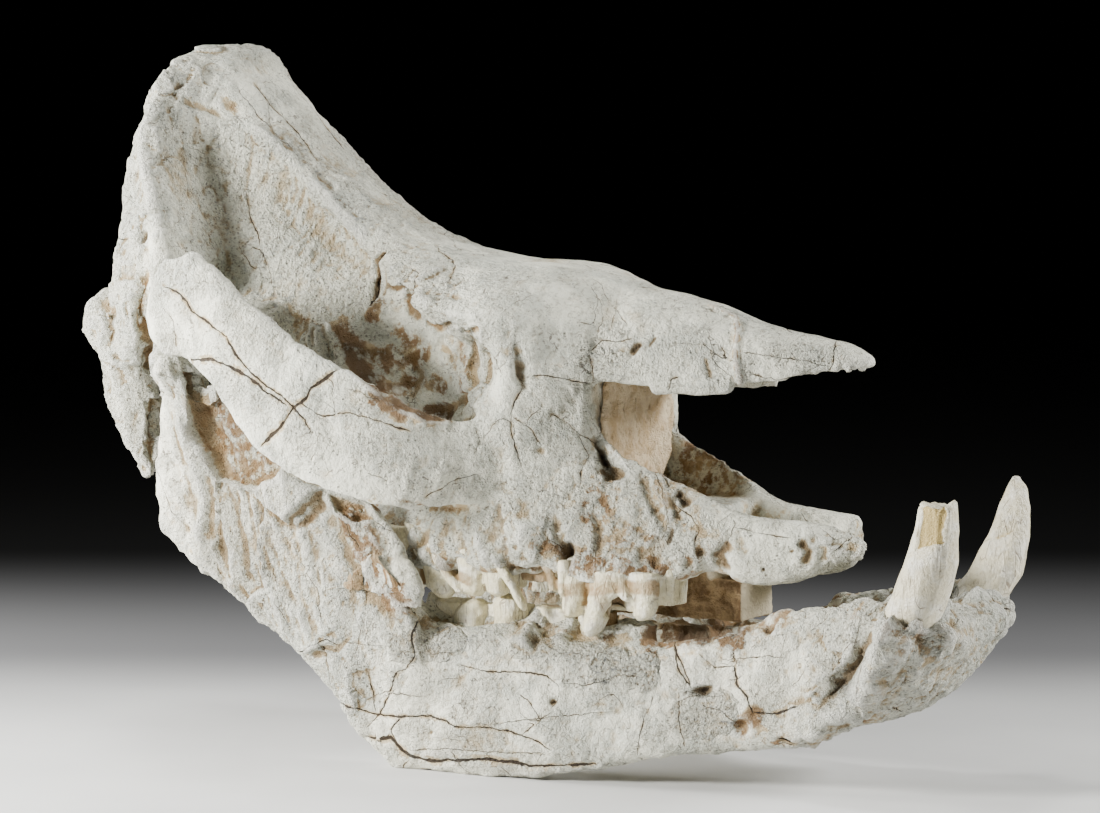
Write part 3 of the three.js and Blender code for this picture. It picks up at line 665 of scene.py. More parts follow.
# lower edge of the cheek, the swollen bone over the teeth, and the front of the snout
CHEEK_AND_TOOTH_ROOTS = [
    (5, 1.5, 0.8, 0, [(400, 503), (430, 507), (465, 510)]),
    (9, -4, 0, 0, [(380, 508), (388, 537), (402, 566)]),
    (6, -4.5, 0, 0, [(409, 522), (420, 548), (431, 568)]),
    (5, -4, 0, 0, [(431, 542), (444, 564), (456, 580)]),
    (7, -4.5, 0, 0, [(478, 528), (486, 552), (494, 574)]),
    (4, -3.5, 0, 0, [(492, 550), (508, 577)]),
    (5, 3.5, 0.5, 0, [(398, 524), (408, 552)]),
    (7, 6, 0.9, 0.35, [(446, 558), (460, 565), (475, 572)]),
    (9, 2.5, 0, 0, [(450, 530), (462, 548)]),
    (18, -6, 0, 0, [(527, 537)]),
    (5, 4, 0.9, 0.3, [(500, 567), (525, 573), (548, 572)]),
    (6, 4, 0.5, 0, [(556, 510), (560, 540), (565, 560)]),
    (5.5, 5.5, 1, 0.95, [(567, 546), (569, 551)]),
    (5, 4, 1, 0.55, [(566, 552), (563, 568)]),
    (5, 2.5, 0, 0, [(590, 505), (600, 530), (598, 560)]),
    (5, 3, 0.6, 0, [(640, 468), (652, 500), (668, 532)]),
    (4, 2, 0.4, 0, [(655, 440), (668, 480), (680, 522)]),
    (6, -2, 0, 0, [(622, 480), (630, 520), (632, 545)]),
    (3, -1.6, 0, 0, [(600, 543), (628, 545), (656, 544)]),
    (5.5, 4.5, 0.8, 0.7, [(681, 494), (686, 502)]),
    (2.4, 1.6, 0, 0.8, [(672, 530), (670, 541)]),
    (6, 3.5, 0.8, 0.5, [(726, 546), (718, 556), (724, 566)]),
    (6, 2, 0.6, 0.15, [(738, 540), (744, 552)]),
    (4, 2.5, 0.6, 0.3, [(700, 552)]),
    (6, 3, 0.8, 0.3, [(655, 562)]),
    (5, 2, 0.8, 0, [(690, 565)]),
    (2, 2.5, 0, 0.9, [(763, 570)]),
    (1.8, 2.2, 0, 0.8, [(791, 551)]),
    (4.5, 3.2, 0.8, 0.5, [(803, 544), (809, 552), (806, 562)]),
    (4, 2, 0.6, 0.2, [(812, 540)]),
    (5, 1.2, 0, 0, [(700, 500), (730, 520), (765, 533)]),
]
RIGHT_SIDE_ONLY = [
    (5, 7, 1, 0.8, [(144, 237)]),
    (4, 1.6, 0, 0.3, [(187, 59)]),
    (2.4, 1.6, 0, 0.3, [(704, 355), (710, 374), (711, 382)]),
]
# filled break across the nasal bones
NASAL_STEP = (3.2, -2, 1, 0, [(710, 307), (722, 313), (735, 318), (738, 332), (735, 350), (737, 366),
                  (741, 382)])
for row in CREST_AND_NAPE + EYE_SOCKET + BEFORE_THE_SOCKET + CHEEK_AND_TOOTH_ROOTS:
    cranium.groove(*row)
for row in RIGHT_SIDE_ONLY:
    cranium.groove(*row, both=False)
cranium.groove(*NASAL_STEP, both=False, taper=False)

# random relief: weathering everywhere, fibres and crust where muscles and roots held
p, x, y, z = cranium.rest, *cranium.rest.T
roof = np.clip(cranium.rest_n[:, 2] * 1.6 - 0.3, 0, 1) * ramp(x, -90, -30)
nape = ramp(x, -205, -219)
temple = inside(p, (-140, 52, 320), (105, 60, 100))
crust = np.maximum.reduce([
    inside(p, (70, 58, 148), (62, 40, 42)), inside(p, (20, 80, 140), (50, 30, 24)),
    inside(p, (-50, 72, 138), (40, 30, 30)), inside(p, (-35, 80, 282), (36, 34, 22)) * 0.8,
    inside(p, (-15, 110, 172), (30, 30, 14)) * 0.6, inside(p, (205, 25, 135), (22, 30, 26)) * 0.6])
socket_roof = inside(p, (-42, 78, 284), (34, 34, 20), 0.3)
snout_end = inside(p, (208, 25, 140), (20, 22, 20), 0.3) * 0.7
socket = inside(p, (-25, 72, 236), (46, 44, 34), 0.3)
calm = (1 - roof * 0.6) * (1 - ramp(x, 150, 180) * (z > 215) * 0.8)
UPRIGHT, NAPE_GRAIN, ROOT_GRAIN = (0.25, 0, 1), (0.1, 0, 1), (0.4, 0, 1)
cranium.press(lambda q: layered(q, 26, 2, 3) * 0.8 + layered(q, 9, 3, 11, 0.65) * 0.5 * calm)
cranium.press(lambda q: -ridged(along_fibres(q, UPRIGHT, 5), 7, 3, 21) * 0.8, temple)
cranium.press(lambda q: layered(along_fibres(q, NAPE_GRAIN, 1.8), 16, 3, 31, 0.6) * 2.0
              + rubble(q, 14, 35) * 1.6, nape)
cranium.press(lambda q: layered(along_fibres(q, ROOT_GRAIN, 2.6), 12, 4, 41, 0.62) * 1.3
              - ridged(along_fibres(q, ROOT_GRAIN, 4), 9, 2, 43) * 0.8 + rubble(q, 10, 45) * 0.4, crust)
cranium.press(lambda q: rubble(q, 15, 47) * 2.2, np.maximum(socket_roof, snout_end))
cranium.press(lambda q: rubble(q, 20, 49) * 2.2 + layered(q, 12, 3, 51) * 1.2, socket)
for zone, grain, count, length, seed in [
    ((roof > 0.3) | (z > 300), (1, 0, -0.35), 60, 60, 201),
    ((np.abs(y) > 85) & (x < 60), (1, 0, -0.4), 50, 45, 202),
    ((x > 30) & (z < 215), (0.4, 0, -1), 60, 35, 203),
    ((x > 40) & (z > 220), (1, 0, -0.1), 30, 60, 204),
    (x < -200, NAPE_GRAIN, 40, 35, 205),
]:
    cranium.hairlines(zone, grain, count, length, seed)

# Cracks: channel of the material, half width, depth, course.
CRANIUM_CRACKS = [
    (0, 0.5, 0.7, [(254, 82), (270, 102), (292, 125), (307, 142), (318, 160)]),
    (1, 0.3, 0.3, [(236, 84), (242, 95), (252, 107), (259, 117), (272, 127)]),
    (2, 0.25, 0.3, [(177, 150), (185, 160), (186, 175), (190, 196)]),
    (0, 0.35, 0.5, [(247, 195), (250, 217), (257, 232), (260, 245)]),
    (1, 0.3, 0.4, [(265, 260), (270, 272), (272, 285)]),
    (2, 0.7, 0.8, [(385, 249), (375, 262), (377, 277), (376, 295), (368, 306)]),
    (0, 0.75, 0.9, [(162, 285), (180, 295), (192, 312), (210, 325), (225, 337), (235, 355), (249, 371),
        (264, 385), (280, 396), (292, 407), (304, 420), (311, 433)]),
    (1, 0.9, 0.9, [(174, 361), (196, 360), (211, 360), (230, 367), (249, 378), (262, 390), (284, 404)]),
    (2, 0.9, 1.2, [(338, 369), (327, 377), (311, 388), (305, 400), (292, 408), (280, 427), (261, 446)]),
    (1, 0.45, 0.5, [(296, 401), (305, 406), (322, 417), (347, 412), (372, 419), (390, 425), (410, 431)]),
    (2, 0.3, 0.3, [(165, 310), (174, 322), (176, 347)]),
    (0, 0.3, 0.2, [(425, 497), (452, 482), (477, 475)]),
    (0, 0.5, 0.5, [(437, 245), (440, 251), (452, 259), (455, 265), (450, 277), (442, 284)]),
    (1, 0.5, 0.5, [(410, 266), (420, 275), (412, 285)]),
    (0, 0.45, 0.5, [(523, 388), (515, 402), (511, 415), (512, 430), (516, 447), (521, 466)]),
    (1, 0.35, 0.4, [(513, 416), (532, 430), (540, 445)]),
    (2, 0.35, 0.4, [(533, 376), (548, 376), (565, 379), (592, 384)]),
    (2, 0.4, 0.5, [(552, 414), (567, 422), (580, 435), (598, 441)]),
    (0, 0.35, 0.4, [(577, 433), (590, 456), (582, 468), (580, 487)]),
    (2, 0.3, 0.3, [(476, 430), (480, 440), (477, 452)]),
    (0, 0.3, 0.3, [(617, 299), (615, 312), (611, 327)]),
    (1, 0.3, 0.3, [(590, 352), (602, 340), (618, 342), (632, 338)]),
    (1, 0.4, 0.4, [(594, 383), (592, 367), (590, 355)]),
    (2, 0.45, 0.5, [(678, 376), (672, 380), (669, 390)]),
    (0, 0.6, 0.8, [(836, 341), (834, 352), (834, 362), (830, 371)]),
    (1, 0.35, 0.3, [(745, 352), (770, 356), (800, 360), (830, 366)]),
    (0, 0.5, 0.6, [(835, 551), (847, 540), (855, 534)]),
    (2, 0.35, 0.4, [(655, 470), (663, 492), (668, 520), (662, 540)]),
    (1, 0.35, 0.4, [(676, 505), (690, 515), (700, 530), (694, 545)]),
    (2, 0.3, 0.3, [(735, 527), (760, 533), (790, 538)]),
    (1, 0.3, 0.3, [(600, 436), (606, 422), (600, 405)]),
]
for row in CRANIUM_CRACKS:
    cranium.crack(*row)

# Stains: radius, stain, dark, grain, course. Warm brown stain in the hollows, with painted shade in it; dark
# is near black painted shade in holes and the deepest recesses.
CRANIUM_STAINS = [
    # inside the eye socket: brown stain with painted shade, near black painted shade in its deepest parts
    (13, 1.05, 0.05, 0, [(345, 335), (360, 360), (380, 385), (400, 408)]),
    (6, 1.1, 0.25, 0, [(405, 408), (425, 415), (450, 418)]),
    (5, 0.95, 0, 0, [(384, 372), (404, 362), (424, 352)]),
    (12, 0.7, 0, 0, [(612, 478), (590, 500), (600, 525), (640, 540)]),
    (9, 0.6, 0, 0, [(655, 480), (690, 515), (700, 545)]),
    (9, 0.8, 0, 0, [(540, 545), (570, 560), (620, 566), (680, 566)]),
    (10, 0.5, 0, 0, [(390, 520), (412, 545), (440, 560), (470, 560)]),
    (16, 0, 0, 0.7, [(395, 275), (420, 290), (440, 320)]),
    (26, 0.2, 0, 0.6, [(640, 440), (655, 480), (640, 520), (600, 530)]),
    (16, 0.3, 0, 0.4, [(700, 500), (690, 530)]),
    (9, 1, 0.45, 0, [(352, 352), (364, 374), (376, 388)]),
    (7, 1, 0.4, 0, [(398, 404), (420, 412), (446, 412)]),
    (7, 0.9, 0, 0, [(372, 362), (396, 352), (412, 340)]),
    (7, 0.75, 0.1, 0, [(396, 388), (420, 376), (444, 386)]),
    (8, 0.7, 0, 0, [(400, 330), (424, 350), (410, 372)]),
    (14, 0.7, 0, 0, [(330, 340)]),
    (9, 0.8, 0, 0, [(420, 415), (450, 420)]),
    (8, 0.7, 0, 0, [(462, 352), (470, 380), (462, 398)]),
    (7, 0.9, 0.2, 0, [(376, 305), (372, 318)]),
    (10, 0.7, 0, 0, [(300, 320), (320, 335)]),
    (14, 0.35, 0, 0, [(205, 76)]),
    (26, 0.8, 0, 0, [(740, 460), (700, 470)]),
    (10, 0.35, 0, 0, [(640, 440), (690, 480), (740, 510), (800, 520)]),
    (24, 0.3, 0, 0.5, [(600, 480), (640, 520), (690, 540)]),
    # along the lower edge of the bone over the teeth: brown stain with painted shade under that edge
    (5, 0.8, 0, 0, [(445, 564), (482, 572), (500, 566), (535, 574), (560, 568), (597, 577), (640, 584),
        (690, 574), (735, 580)]),
    (6, 0.45, 0, 0, [(375, 500), (440, 508), (500, 505)]),
    (16, 0.25, 0, 0.6, [(525, 500), (560, 520)]),
    (9, 0.6, 0, 0, [(835, 365)]),
    (14, 0.5, 0, 0, [(850, 545)]),
    (12, 0, 0, 0.8, [(590, 355), (615, 370)]),
    (10, 0, 0, 0.7, [(780, 350), (810, 355)]),
    (40, 0, 0, 0.45, [(200, 200), (260, 240)]),
]
for row in CRANIUM_STAINS:
    cranium.tint(*row)
cranium.finish()


CRACKS = range(3)
BONE_COLOURS = (("Pale", (0.84, 0.83, 0.7, 1)), ("Grey", (0.68, 0.69, 0.6, 1)),
                ("Tan", (0.56, 0.43, 0.25, 1)), ("Brown", (0.25, 0.135, 0.05, 1)))
PORE_DUST_AND_SHADE, PIT_DIRT_AND_SHADE, PORE_BLACK = (0.22, 0.18, 0.115, 1), (0.4, 0.31, 0.185, 1), (0.13, 0.115, 0.09, 1)
BLUE_GREY, WEB_BROWN, WORN_EDGE = (0.24, 0.25, 0.25, 1), (0.07, 0.045, 0.025, 1), (0.84, 0.83, 0.75, 1)
CRACK_BLACK, HOLE_SHADE = (0.02, 0.011, 0.006, 1), (0.014, 0.009, 0.006, 1)


def open_cracks():
    """Shader group for the cracks that a skin carries: the dark line, and its broken rim as a halo."""
    tree = bpy.data.node_groups.new("open_cracks", "ShaderNodeTree")
    tree.interface.new_socket("Crack", in_out="OUTPUT", socket_type="NodeSocketFloat")
    tree.interface.new_socket("Halo", in_out="OUTPUT", socket_type="NodeSocketFloat")
    w = Wiring(tree)
    where = w.place()
    wander = w.calc("MULTIPLY_ADD", w.noise(where, 4.5, 2), 2.6, -1.3)
    swell = w.fade(w.noise(where, 14, 2), 0.3, 0.7, 0.45, 1.25)
    sides, forces = w.parts(w.attribute("crack_side")), w.parts(w.attribute("crack_force"))
    lines, halos = [], []
    for k in CRACKS:
        away = w.calc("ABSOLUTE", w.calc("ADD", sides[k], wander))
        width = w.calc("MULTIPLY", forces[k], w.calc("MULTIPLY", swell, 0.95))
        lines.append(w.fade(w.calc("SUBTRACT", width, away), -0.06, 0.22))
        halos.append(w.fade(w.calc("SUBTRACT", w.calc("MULTIPLY", width, 3.4), away), 0.0, 1.3))
    crack = w.calc("MAXIMUM", w.calc("MAXIMUM", lines[0], lines[1]), lines[2])
    halo = w.calc("MAXIMUM", w.calc("MAXIMUM", halos[0], halos[1]), halos[2])
    ends = w.node("NodeGroupOutput")
    tree.links.new(crack, ends.inputs["Crack"])
    tree.links.new(halo, ends.inputs["Halo"])
    return tree


def new_surface_group(name, colours):
    """An empty shader group that takes colours and gives the colour, roughness and height of a surface."""
    tree = bpy.data.node_groups.new(name, "ShaderNodeTree")
    for socket, value in colours:
        tree.interface.new_socket(socket, in_out="INPUT", socket_type="NodeSocketColor").default_value = value
    tree.interface.new_socket("Color", in_out="OUTPUT", socket_type="NodeSocketColor")
    tree.interface.new_socket("Roughness", in_out="OUTPUT", socket_type="NodeSocketFloat")
    tree.interface.new_socket("Height", in_out="OUTPUT", socket_type="NodeSocketFloat")
    return tree, Wiring(tree)


def buried_bone(crack_tree):
    """Shader group for weathered bone that lay in sediment."""
    tree, w = new_surface_group("buried_bone", BONE_COLOURS)
    given, ends = w.node("NodeGroupInput").outputs, w.node("NodeGroupOutput").inputs
    where = w.place()
    stain, dark, grain = w.parts(w.attribute("tone"))
    hollow = w.attribute("hollow", "Fac")
    cracks = w.node("ShaderNodeGroup", node_tree=crack_tree).outputs
    broad, patch = w.noise(where, 60, 4), w.noise(where, 17, 4, 0.65)
    fine, grit = w.noise(where, 2.4, 4, 0.7), w.noise(where, 1.1, 2)
    colour = w.blend(w.fade(w.calc("MULTIPLY_ADD", patch, 0.55, w.calc("MULTIPLY", broad, 0.45)), 0.42, 0.62),
                     given["Pale"], given["Grey"])
    # warm film, strongest in hollows, where it is partly painted shade
    film_and_shade = w.fade(w.calc("ADD", w.noise(where, 34, 4, 0.65), w.calc("MULTIPLY", hollow, 0.2)), 0.5, 0.78)
    colour = w.blend(w.calc("MULTIPLY", film_and_shade, 0.7), colour, given["Tan"])
    # dust and painted shade in the small hollows of the relief and of the surface
    rough = w.fade(w.noise(where, 30, 3), 0.36, 0.64, 0.3, 1.0)
    rough = w.calc("MAXIMUM", rough, w.calc("MULTIPLY", grain, 1.6))
    dust_and_shade = w.calc("MULTIPLY", w.fade(fine, 0.5, 0.34), rough)
    colour = w.blend(w.calc("MULTIPLY", dust_and_shade, 0.6), colour, PORE_DUST_AND_SHADE)
    dirt_and_shade = w.fade(w.calc("MULTIPLY_ADD", fine, -1.2, hollow), -0.35, 0.75, 0.0, 0.75)
    colour = w.blend(dirt_and_shade, colour, PIT_DIRT_AND_SHADE)
    # pores and blue-grey specks
    pores = w.cells(w.place((0.55, 1, 1)), 1.9)
    chosen = w.fade(w.calc("ADD", w.noise(where, 9, 3), w.calc("MULTIPLY", grain, 0.25)), 0.5, 0.68)
    pore = w.calc("MULTIPLY", w.fade(pores, 0.36, 0.12), chosen)
    colour = w.blend(w.calc("MULTIPLY", pore, 0.7), colour, PORE_BLACK)
    smudge = w.calc("MULTIPLY", w.fade(w.noise(w.place((0.4, 1, 1)), 3.2, 4, 0.7), 0.52, 0.66),
                    w.calc("MULTIPLY_ADD", grain, 0.5, w.fade(w.noise(where, 26, 3), 0.56, 0.7, 0.0, 0.45)))
    colour = w.blend(smudge, colour, BLUE_GREY)
    # fine network of drying cracks, in patches
    sway = w.vector("SUBTRACT", w.noise(where, 12, 3, colour=True), (0.5, 0.5, 0.5))
    bent = w.vector("ADD", where, w.vector("MULTIPLY", sway, (0.022, 0.022, 0.022)))
    web = w.calc("MULTIPLY", w.fade(w.cells(bent, 15, "DISTANCE_TO_EDGE"), 0.035, 0.008),
                 w.fade(w.noise(where, 38, 3), 0.5, 0.62))
    close = w.calc("MULTIPLY", w.fade(w.cells(bent, 5.5, "DISTANCE_TO_EDGE"), 0.06, 0.015),
                   w.fade(w.noise(where, 24, 3, 0.6), 0.54, 0.64, 0.0, 0.6))
    web = w.calc("MULTIPLY", w.calc("MAXIMUM", web, close), w.fade(w.noise(where, 5, 3), 0.38, 0.6))
    colour = w.blend(w.calc("MULTIPLY", web, 0.75), colour, WEB_BROWN)
    # brown in stained places, broken up; the stain marks hold painted shade as well as stains
    broken = w.calc("MULTIPLY_ADD", w.fade(w.noise(where, 8, 5, 0.65), 0.3, 0.68), 1.1, -1.0)
    brown = w.calc("MULTIPLY", w.fade(w.calc("MULTIPLY_ADD", stain, 1.0, broken), 0.05, 0.55), 0.92)
    rust_and_shade = w.calc("MULTIPLY_ADD", w.calc("SUBTRACT", stain, 0.6), 0.5, patch)
    colour = w.blend(brown, colour, w.blend(w.fade(rust_and_shade, 0.42, 0.66), given["Tan"], given["Brown"]))
    # stain with painted shade: the deepest hollows turn tan and brown
    deep = w.fade(w.calc("MULTIPLY_ADD", patch, 0.6, hollow), 1.1, 3.0)
    colour = w.blend(w.calc("MULTIPLY", deep, 0.6), colour, w.blend(0.5, given["Tan"], given["Brown"]))
    rim = w.calc("MULTIPLY", cracks["Halo"], w.fade(w.noise(where, 7, 3, 0.6), 0.42, 0.6))
    colour = w.blend(w.calc("MULTIPLY", rim, 0.8), colour, given["Tan"])
    # open cracks, near black painted shade in holes, and high edges worn pale
    colour = w.blend(w.calc("MULTIPLY", cracks["Crack"], 0.95), colour, CRACK_BLACK)
    colour = w.blend(w.calc("MULTIPLY", dark, 0.97), colour, HOLE_SHADE)
    colour = w.blend(w.fade(hollow, -0.5, -1.8, 0.0, 0.6), colour, WORN_EDGE)
    tree.links.new(colour, ends["Color"])
    tree.links.new(w.calc("MULTIPLY_ADD", patch, 0.25, 0.62), ends["Roughness"])
    # relief finer than the mesh
    lumps = w.noise(where, 6, 3, 0.6)
    crumple = w.calc("ABSOLUTE", w.calc("SUBTRACT", w.noise(where, 5, 4, 0.65), 0.5))
    height = w.calc("MULTIPLY_ADD", grit, 2.0, w.calc("MULTIPLY", lumps, 1.6))
    height = w.calc("MULTIPLY_ADD", fine, 5.0, height)
    height = w.calc("MULTIPLY_ADD", crumple, w.calc("MULTIPLY_ADD", grain, 10.0, 4.0), height)
    height = w.calc("MULTIPLY", height, rough)
    for mark, drop in ((pore, -0.8), (web, -0.3), (cracks["Crack"], -1.1)):
        height = w.calc("MULTIPLY_ADD", mark, drop, height)
    tree.links.new(height, ends["Height"])
    return tree


def skull_material(name, group, strength, **colours):
    """A material that shows what a shader group gives; its height comes out as bump."""
    material, w, surface = blank_material(name)
    shown = w.node("ShaderNodeGroup", colours, node_tree=group)
    relief = w.node("ShaderNodeBump", {"Height": shown.outputs["Height"], "Distance": 0.001,
                                       "Strength": strength})
    w.tree.links.new(shown.outputs["Color"], surface.inputs["Base Color"])
    w.tree.links.new(shown.outputs["Roughness"], surface.inputs["Roughness"])
    w.tree.links.new(relief.outputs[0], surface.inputs["Normal"])
    return material, surface


def bone_material(name, **colours):
    material, surface = skull_material(name, bone_group, 1.0, **colours)
    surface.inputs["Specular IOR Level"].default_value = 0.3
    return material


bone_group = buried_bone(open_cracks())
skull_bone = bone_material("skull_bone")

# Blocks that part the skin into bones, as x, y and z from and to; a pair's block is for the left side.
FAR = 900.0
CRANIUM_CUTS = {
    "zygomatic_arch": [(-188, -60, 100, FAR, -FAR, FAR), (-60, -8, 81, FAR, 146, 246)],
    "nasals": [(64, FAR, -FAR, FAR, 205, FAR)],
    "premaxilla": [(122, FAR, 0, FAR, -FAR, 205)],
    "maxilla": [(-86, -60, 0, FAR, -FAR, 188), (-60, 40, 0, FAR, -FAR, 195), (40, FAR, 0, FAR, -FAR, 205)],
    "frontals": [(-60, FAR, -FAR, FAR, -FAR, FAR)],
    "occiput": [(-FAR, -226, -FAR, FAR, -FAR, FAR)],
}


def side_block(block, mirror):
    """Two corners of a block, on the side of the bone that it parts off."""
    x0, x1, y0, y1, z0, z1 = block
    if mirror:
        y0, y1 = -y1, -y0
    return place(x0, y0, z0), place(x1, y1, z1)


def cut_off(rest, name, blocks, mirror):
    """Cuts a bone off the rest of a skin with one or two blocks."""
    bm = bmesh.new()
    for block in blocks:
        low, high = side_block(block, mirror)
        made = bmesh.ops.create_cube(bm, size=1)["verts"]
        bmesh.ops.scale(bm, vec=high - low, verts=made)
        bmesh.ops.translate(bm, vec=(low + high) / 2, verts=made)
    cutter = new_object("cutter", bm)
    piece = bpy.data.objects.new(name + "_bone", rest.data.copy())
    bpy.context.collection.objects.link(piece)
    for obj, operation in ((piece, "INTERSECT"), (rest, "DIFFERENCE")):
        cut = obj.modifiers.new("cut", "BOOLEAN")
        cut.solver, cut.operation, cut.object = "MANIFOLD", operation, cutter
        baked(obj)
    bpy.data.objects.remove(cutter)
    return piece


LAYERS = {"tone": ("vector", 3), "crack_side": ("vector", 3), "crack_force": ("vector", 3),
          "hollow": ("value", 1)}


def layer_values(mesh, layer):
    field, width = LAYERS[layer]
    values = np.empty(len(mesh.vertices) * width, np.float32)
    mesh.attributes[layer].data.foreach_get(field, values)
    return values.reshape(-1, width)


def positions(mesh):
    flat = np.empty(len(mesh.vertices) * 3, np.float32)
    mesh.vertices.foreach_get("co", flat)
    return flat


def parted(skin, cuts, names, material):
    """Parts a skin into bones one after another, and gives the cut faces the stains of the skin nearby."""
    tree = kdtree.KDTree(skin.count)
    for k, vertex in enumerate(skin.mesh.vertices):
        tree.insert(vertex.co, k)
    tree.balance()
    skin.mesh.attributes.new("home", "FLOAT_VECTOR", "POINT").data.foreach_set("vector", positions(skin.mesh))
    source = {layer: layer_values(skin.mesh, layer) for layer in LAYERS}
    for name in names:
        stem = name.replace("_right", "").replace("_left", "")
        piece = skin.obj
        if name in cuts:
            piece = cut_off(skin.obj, name, cuts[name], False)
        elif stem in cuts:
            piece = cut_off(skin.obj, name, cuts[stem], name.endswith("_right"))
        piece.name = name + "_bone"
        mesh = piece.data
        kept = np.empty(len(mesh.vertices) * 3, np.float32)
        mesh.attributes["home"].data.foreach_get("vector", kept)
        fresh = np.flatnonzero(np.abs(positions(mesh) - kept).reshape(-1, 3).max(1) > 1e-6)
        nearest = [tree.find(mesh.vertices[k].co)[1] for k in fresh.tolist()]
        for layer, values in source.items():
            data = layer_values(mesh, layer)
            data[fresh] = values[nearest]
            mesh.attributes[layer].data.foreach_set(LAYERS[layer][0], data.ravel())
        mesh.attributes.remove(mesh.attributes["home"])
        mesh.materials.clear()
        mesh.materials.append(material)
        mesh.shade_smooth()
        mesh.set_sharp_from_angle(angle=math.radians(70))
        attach(piece, "root")
        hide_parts(name)


parted(cranium, CRANIUM_CUTS, CRANIUM, skull_bone)

# ---------------------------------------------------------------- lower jaw
# Two deep halves fused at the chin, with a broad fibrous plate behind for the chewing muscles. It is
# carved as one skin like the cranium, and parted behind the teeth and at the chin.
JAW = ["mandible_ramus_right", "mandible_ramus_left", "mandible_symphysis", "mandible_body_right",
       "mandible_body_left"]
SOCKET_RIM = 88.0
jaw = welded_skin("jaw", JAW, SKIN_VOXEL, SKIN_SMOOTHING)
x, y, z = jaw.p.T
# the bone walls between the tooth roots are low
tooth_row = ramp(x, -56, -48) * ramp(x, 106, 98) * (np.abs(y) < 82) * (z > SOCKET_RIM)
jaw.p[:, 2] = z - 0.85 * tooth_row * (z - SOCKET_RIM)
# the front edge of the upright branch bulges forward as a ragged lip
lip = hump(z, 130, 44) ** 0.6 * np.clip((x + 96 + (z - 130) * 0.6) / 26, 0, 1) * (x < -44)
lip += 1.3 * hump(z, 107, 17) * (x > -88) * (x < -44)
lip *= 1 + 0.9 * hump(z, 145, 32)
jaw.p[:, 0] += 11 * lip * (np.abs(y) > 74) * (z > 90)
# top of the branch, and the heel behind the last molar
notch = ramp(z, 198, 210) * hump(x, -160, 24) * (np.abs(y) > 88)
jaw.p[:, 2] += 12 * notch
heel = hump(x, -58, 24) * ramp(z, 78, 88) * (z < 104) * (np.abs(y) > 52)
jaw.p[:, 2] += 26 * heel
jaw.smooth(3)
jaw.survey()
MUSCLE_HOLLOW = [(184, 372), (206, 372), (230, 404), (250, 432), (268, 450), (284, 460), (270, 484),
                 (252, 491), (232, 488), (213, 483), (201, 456), (189, 424)]
LOWER_TERRACE = [(213, 480), (252, 491), (264, 508), (258, 540), (264, 590), (242, 604), (223, 578),
                 (209, 548), (213, 515)]
BROKEN_STRIP = [(262, 480), (284, 466), (306, 480), (324, 487), (302, 513), (290, 526), (267, 509)]
FRONT_HOLLOW = [(326, 490), (368, 498), (376, 516), (352, 524), (332, 510)]
# the brown in the muscle hollow and the front hollow is stain with painted shadow of the cheek arch
# depth, then how softly the edge falls
jaw.sink(MUSCLE_HOLLOW, 10.0, 5.0, stain=0.85)
jaw.sink(LOWER_TERRACE, 5.0, 3.5, stain=0.3)
jaw.sink(BROKEN_STRIP, -7.0, 5.0)
jaw.sink(FRONT_HOLLOW, 6.0, 6.0, stain=0.9)
# Grooves and ridges in rows like the cranium's; the rim of the right tusk's socket keeps its full height.
UPRIGHT_BRANCH = [
    (9, -3.5, 0, 0, [(180, 371), (185, 424), (196, 467), (203, 499), (198, 549)]),
    (5, -3, 0, 0, [(213, 483), (218, 517), (226, 561), (233, 596)]),
    (5, 2.5, 0.6, 0, [(206, 478), (211, 500), (207, 550)]),
    (5, 2.4, 0.4, 0, [(228, 490), (236, 540), (243, 590)]),
    (6, -2.5, 0, 0, [(250, 490), (256, 545), (262, 590)]),
    (6, 2, 0.3, 0, [(272, 540), (280, 580), (296, 612)]),
    (5, 4, 0.7, 0, [(260, 478), (268, 508), (288, 527)]),
    (5, 3.5, 0.8, 0.2, [(324, 498), (310, 520), (290, 530)]),
    (8, 2, 0.9, 0.1, [(345, 512), (366, 552), (392, 596)]),
    (5, -2, 0, 0, [(345, 500), (360, 540), (385, 590), (408, 618)]),
    (6, 2.6, 0.4, 0, [(325, 505), (342, 548), (368, 592), (395, 622)]),
    (24, -1.8, 0, 0, [(285, 610)]),
    (4, -2.2, 0, 0, [(296, 655), (311, 647), (327, 640), (338, 647)]),
    (5, 2.2, 0.4, 0, [(300, 663), (318, 655), (332, 655)]),
    (6, -1.5, 0, 0, [(345, 660), (352, 690), (364, 705)]),
]
TOOTH_BEARING_BODY = [
    (3, 3, 0.5, 0.5, [(553, 702)]),
    (1.6, 1.2, 0, 0.5, [(431, 732)]),
    (4.5, 6, 0.7, 0.9, [(688, 692), (702, 691), (716, 689)]),
    (6, 4.5, 1, 0.3, [(742, 726)]),
    (11, 7, 1, 0.35, [(660, 634), (693, 630), (715, 630)]),
    (16, 0.5, 0.9, 0, [(640, 636), (700, 624), (770, 622)]),
    (6, 6, 0.9, 0.5, [(735, 631)]),
    (9, -6, 0, 0, [(520, 648), (532, 630), (543, 614)]),
    (8, -4, 0, 0, [(560, 640), (572, 626)]),
    (7, -4, 0, 0, [(600, 640), (618, 634), (640, 632)]),
]
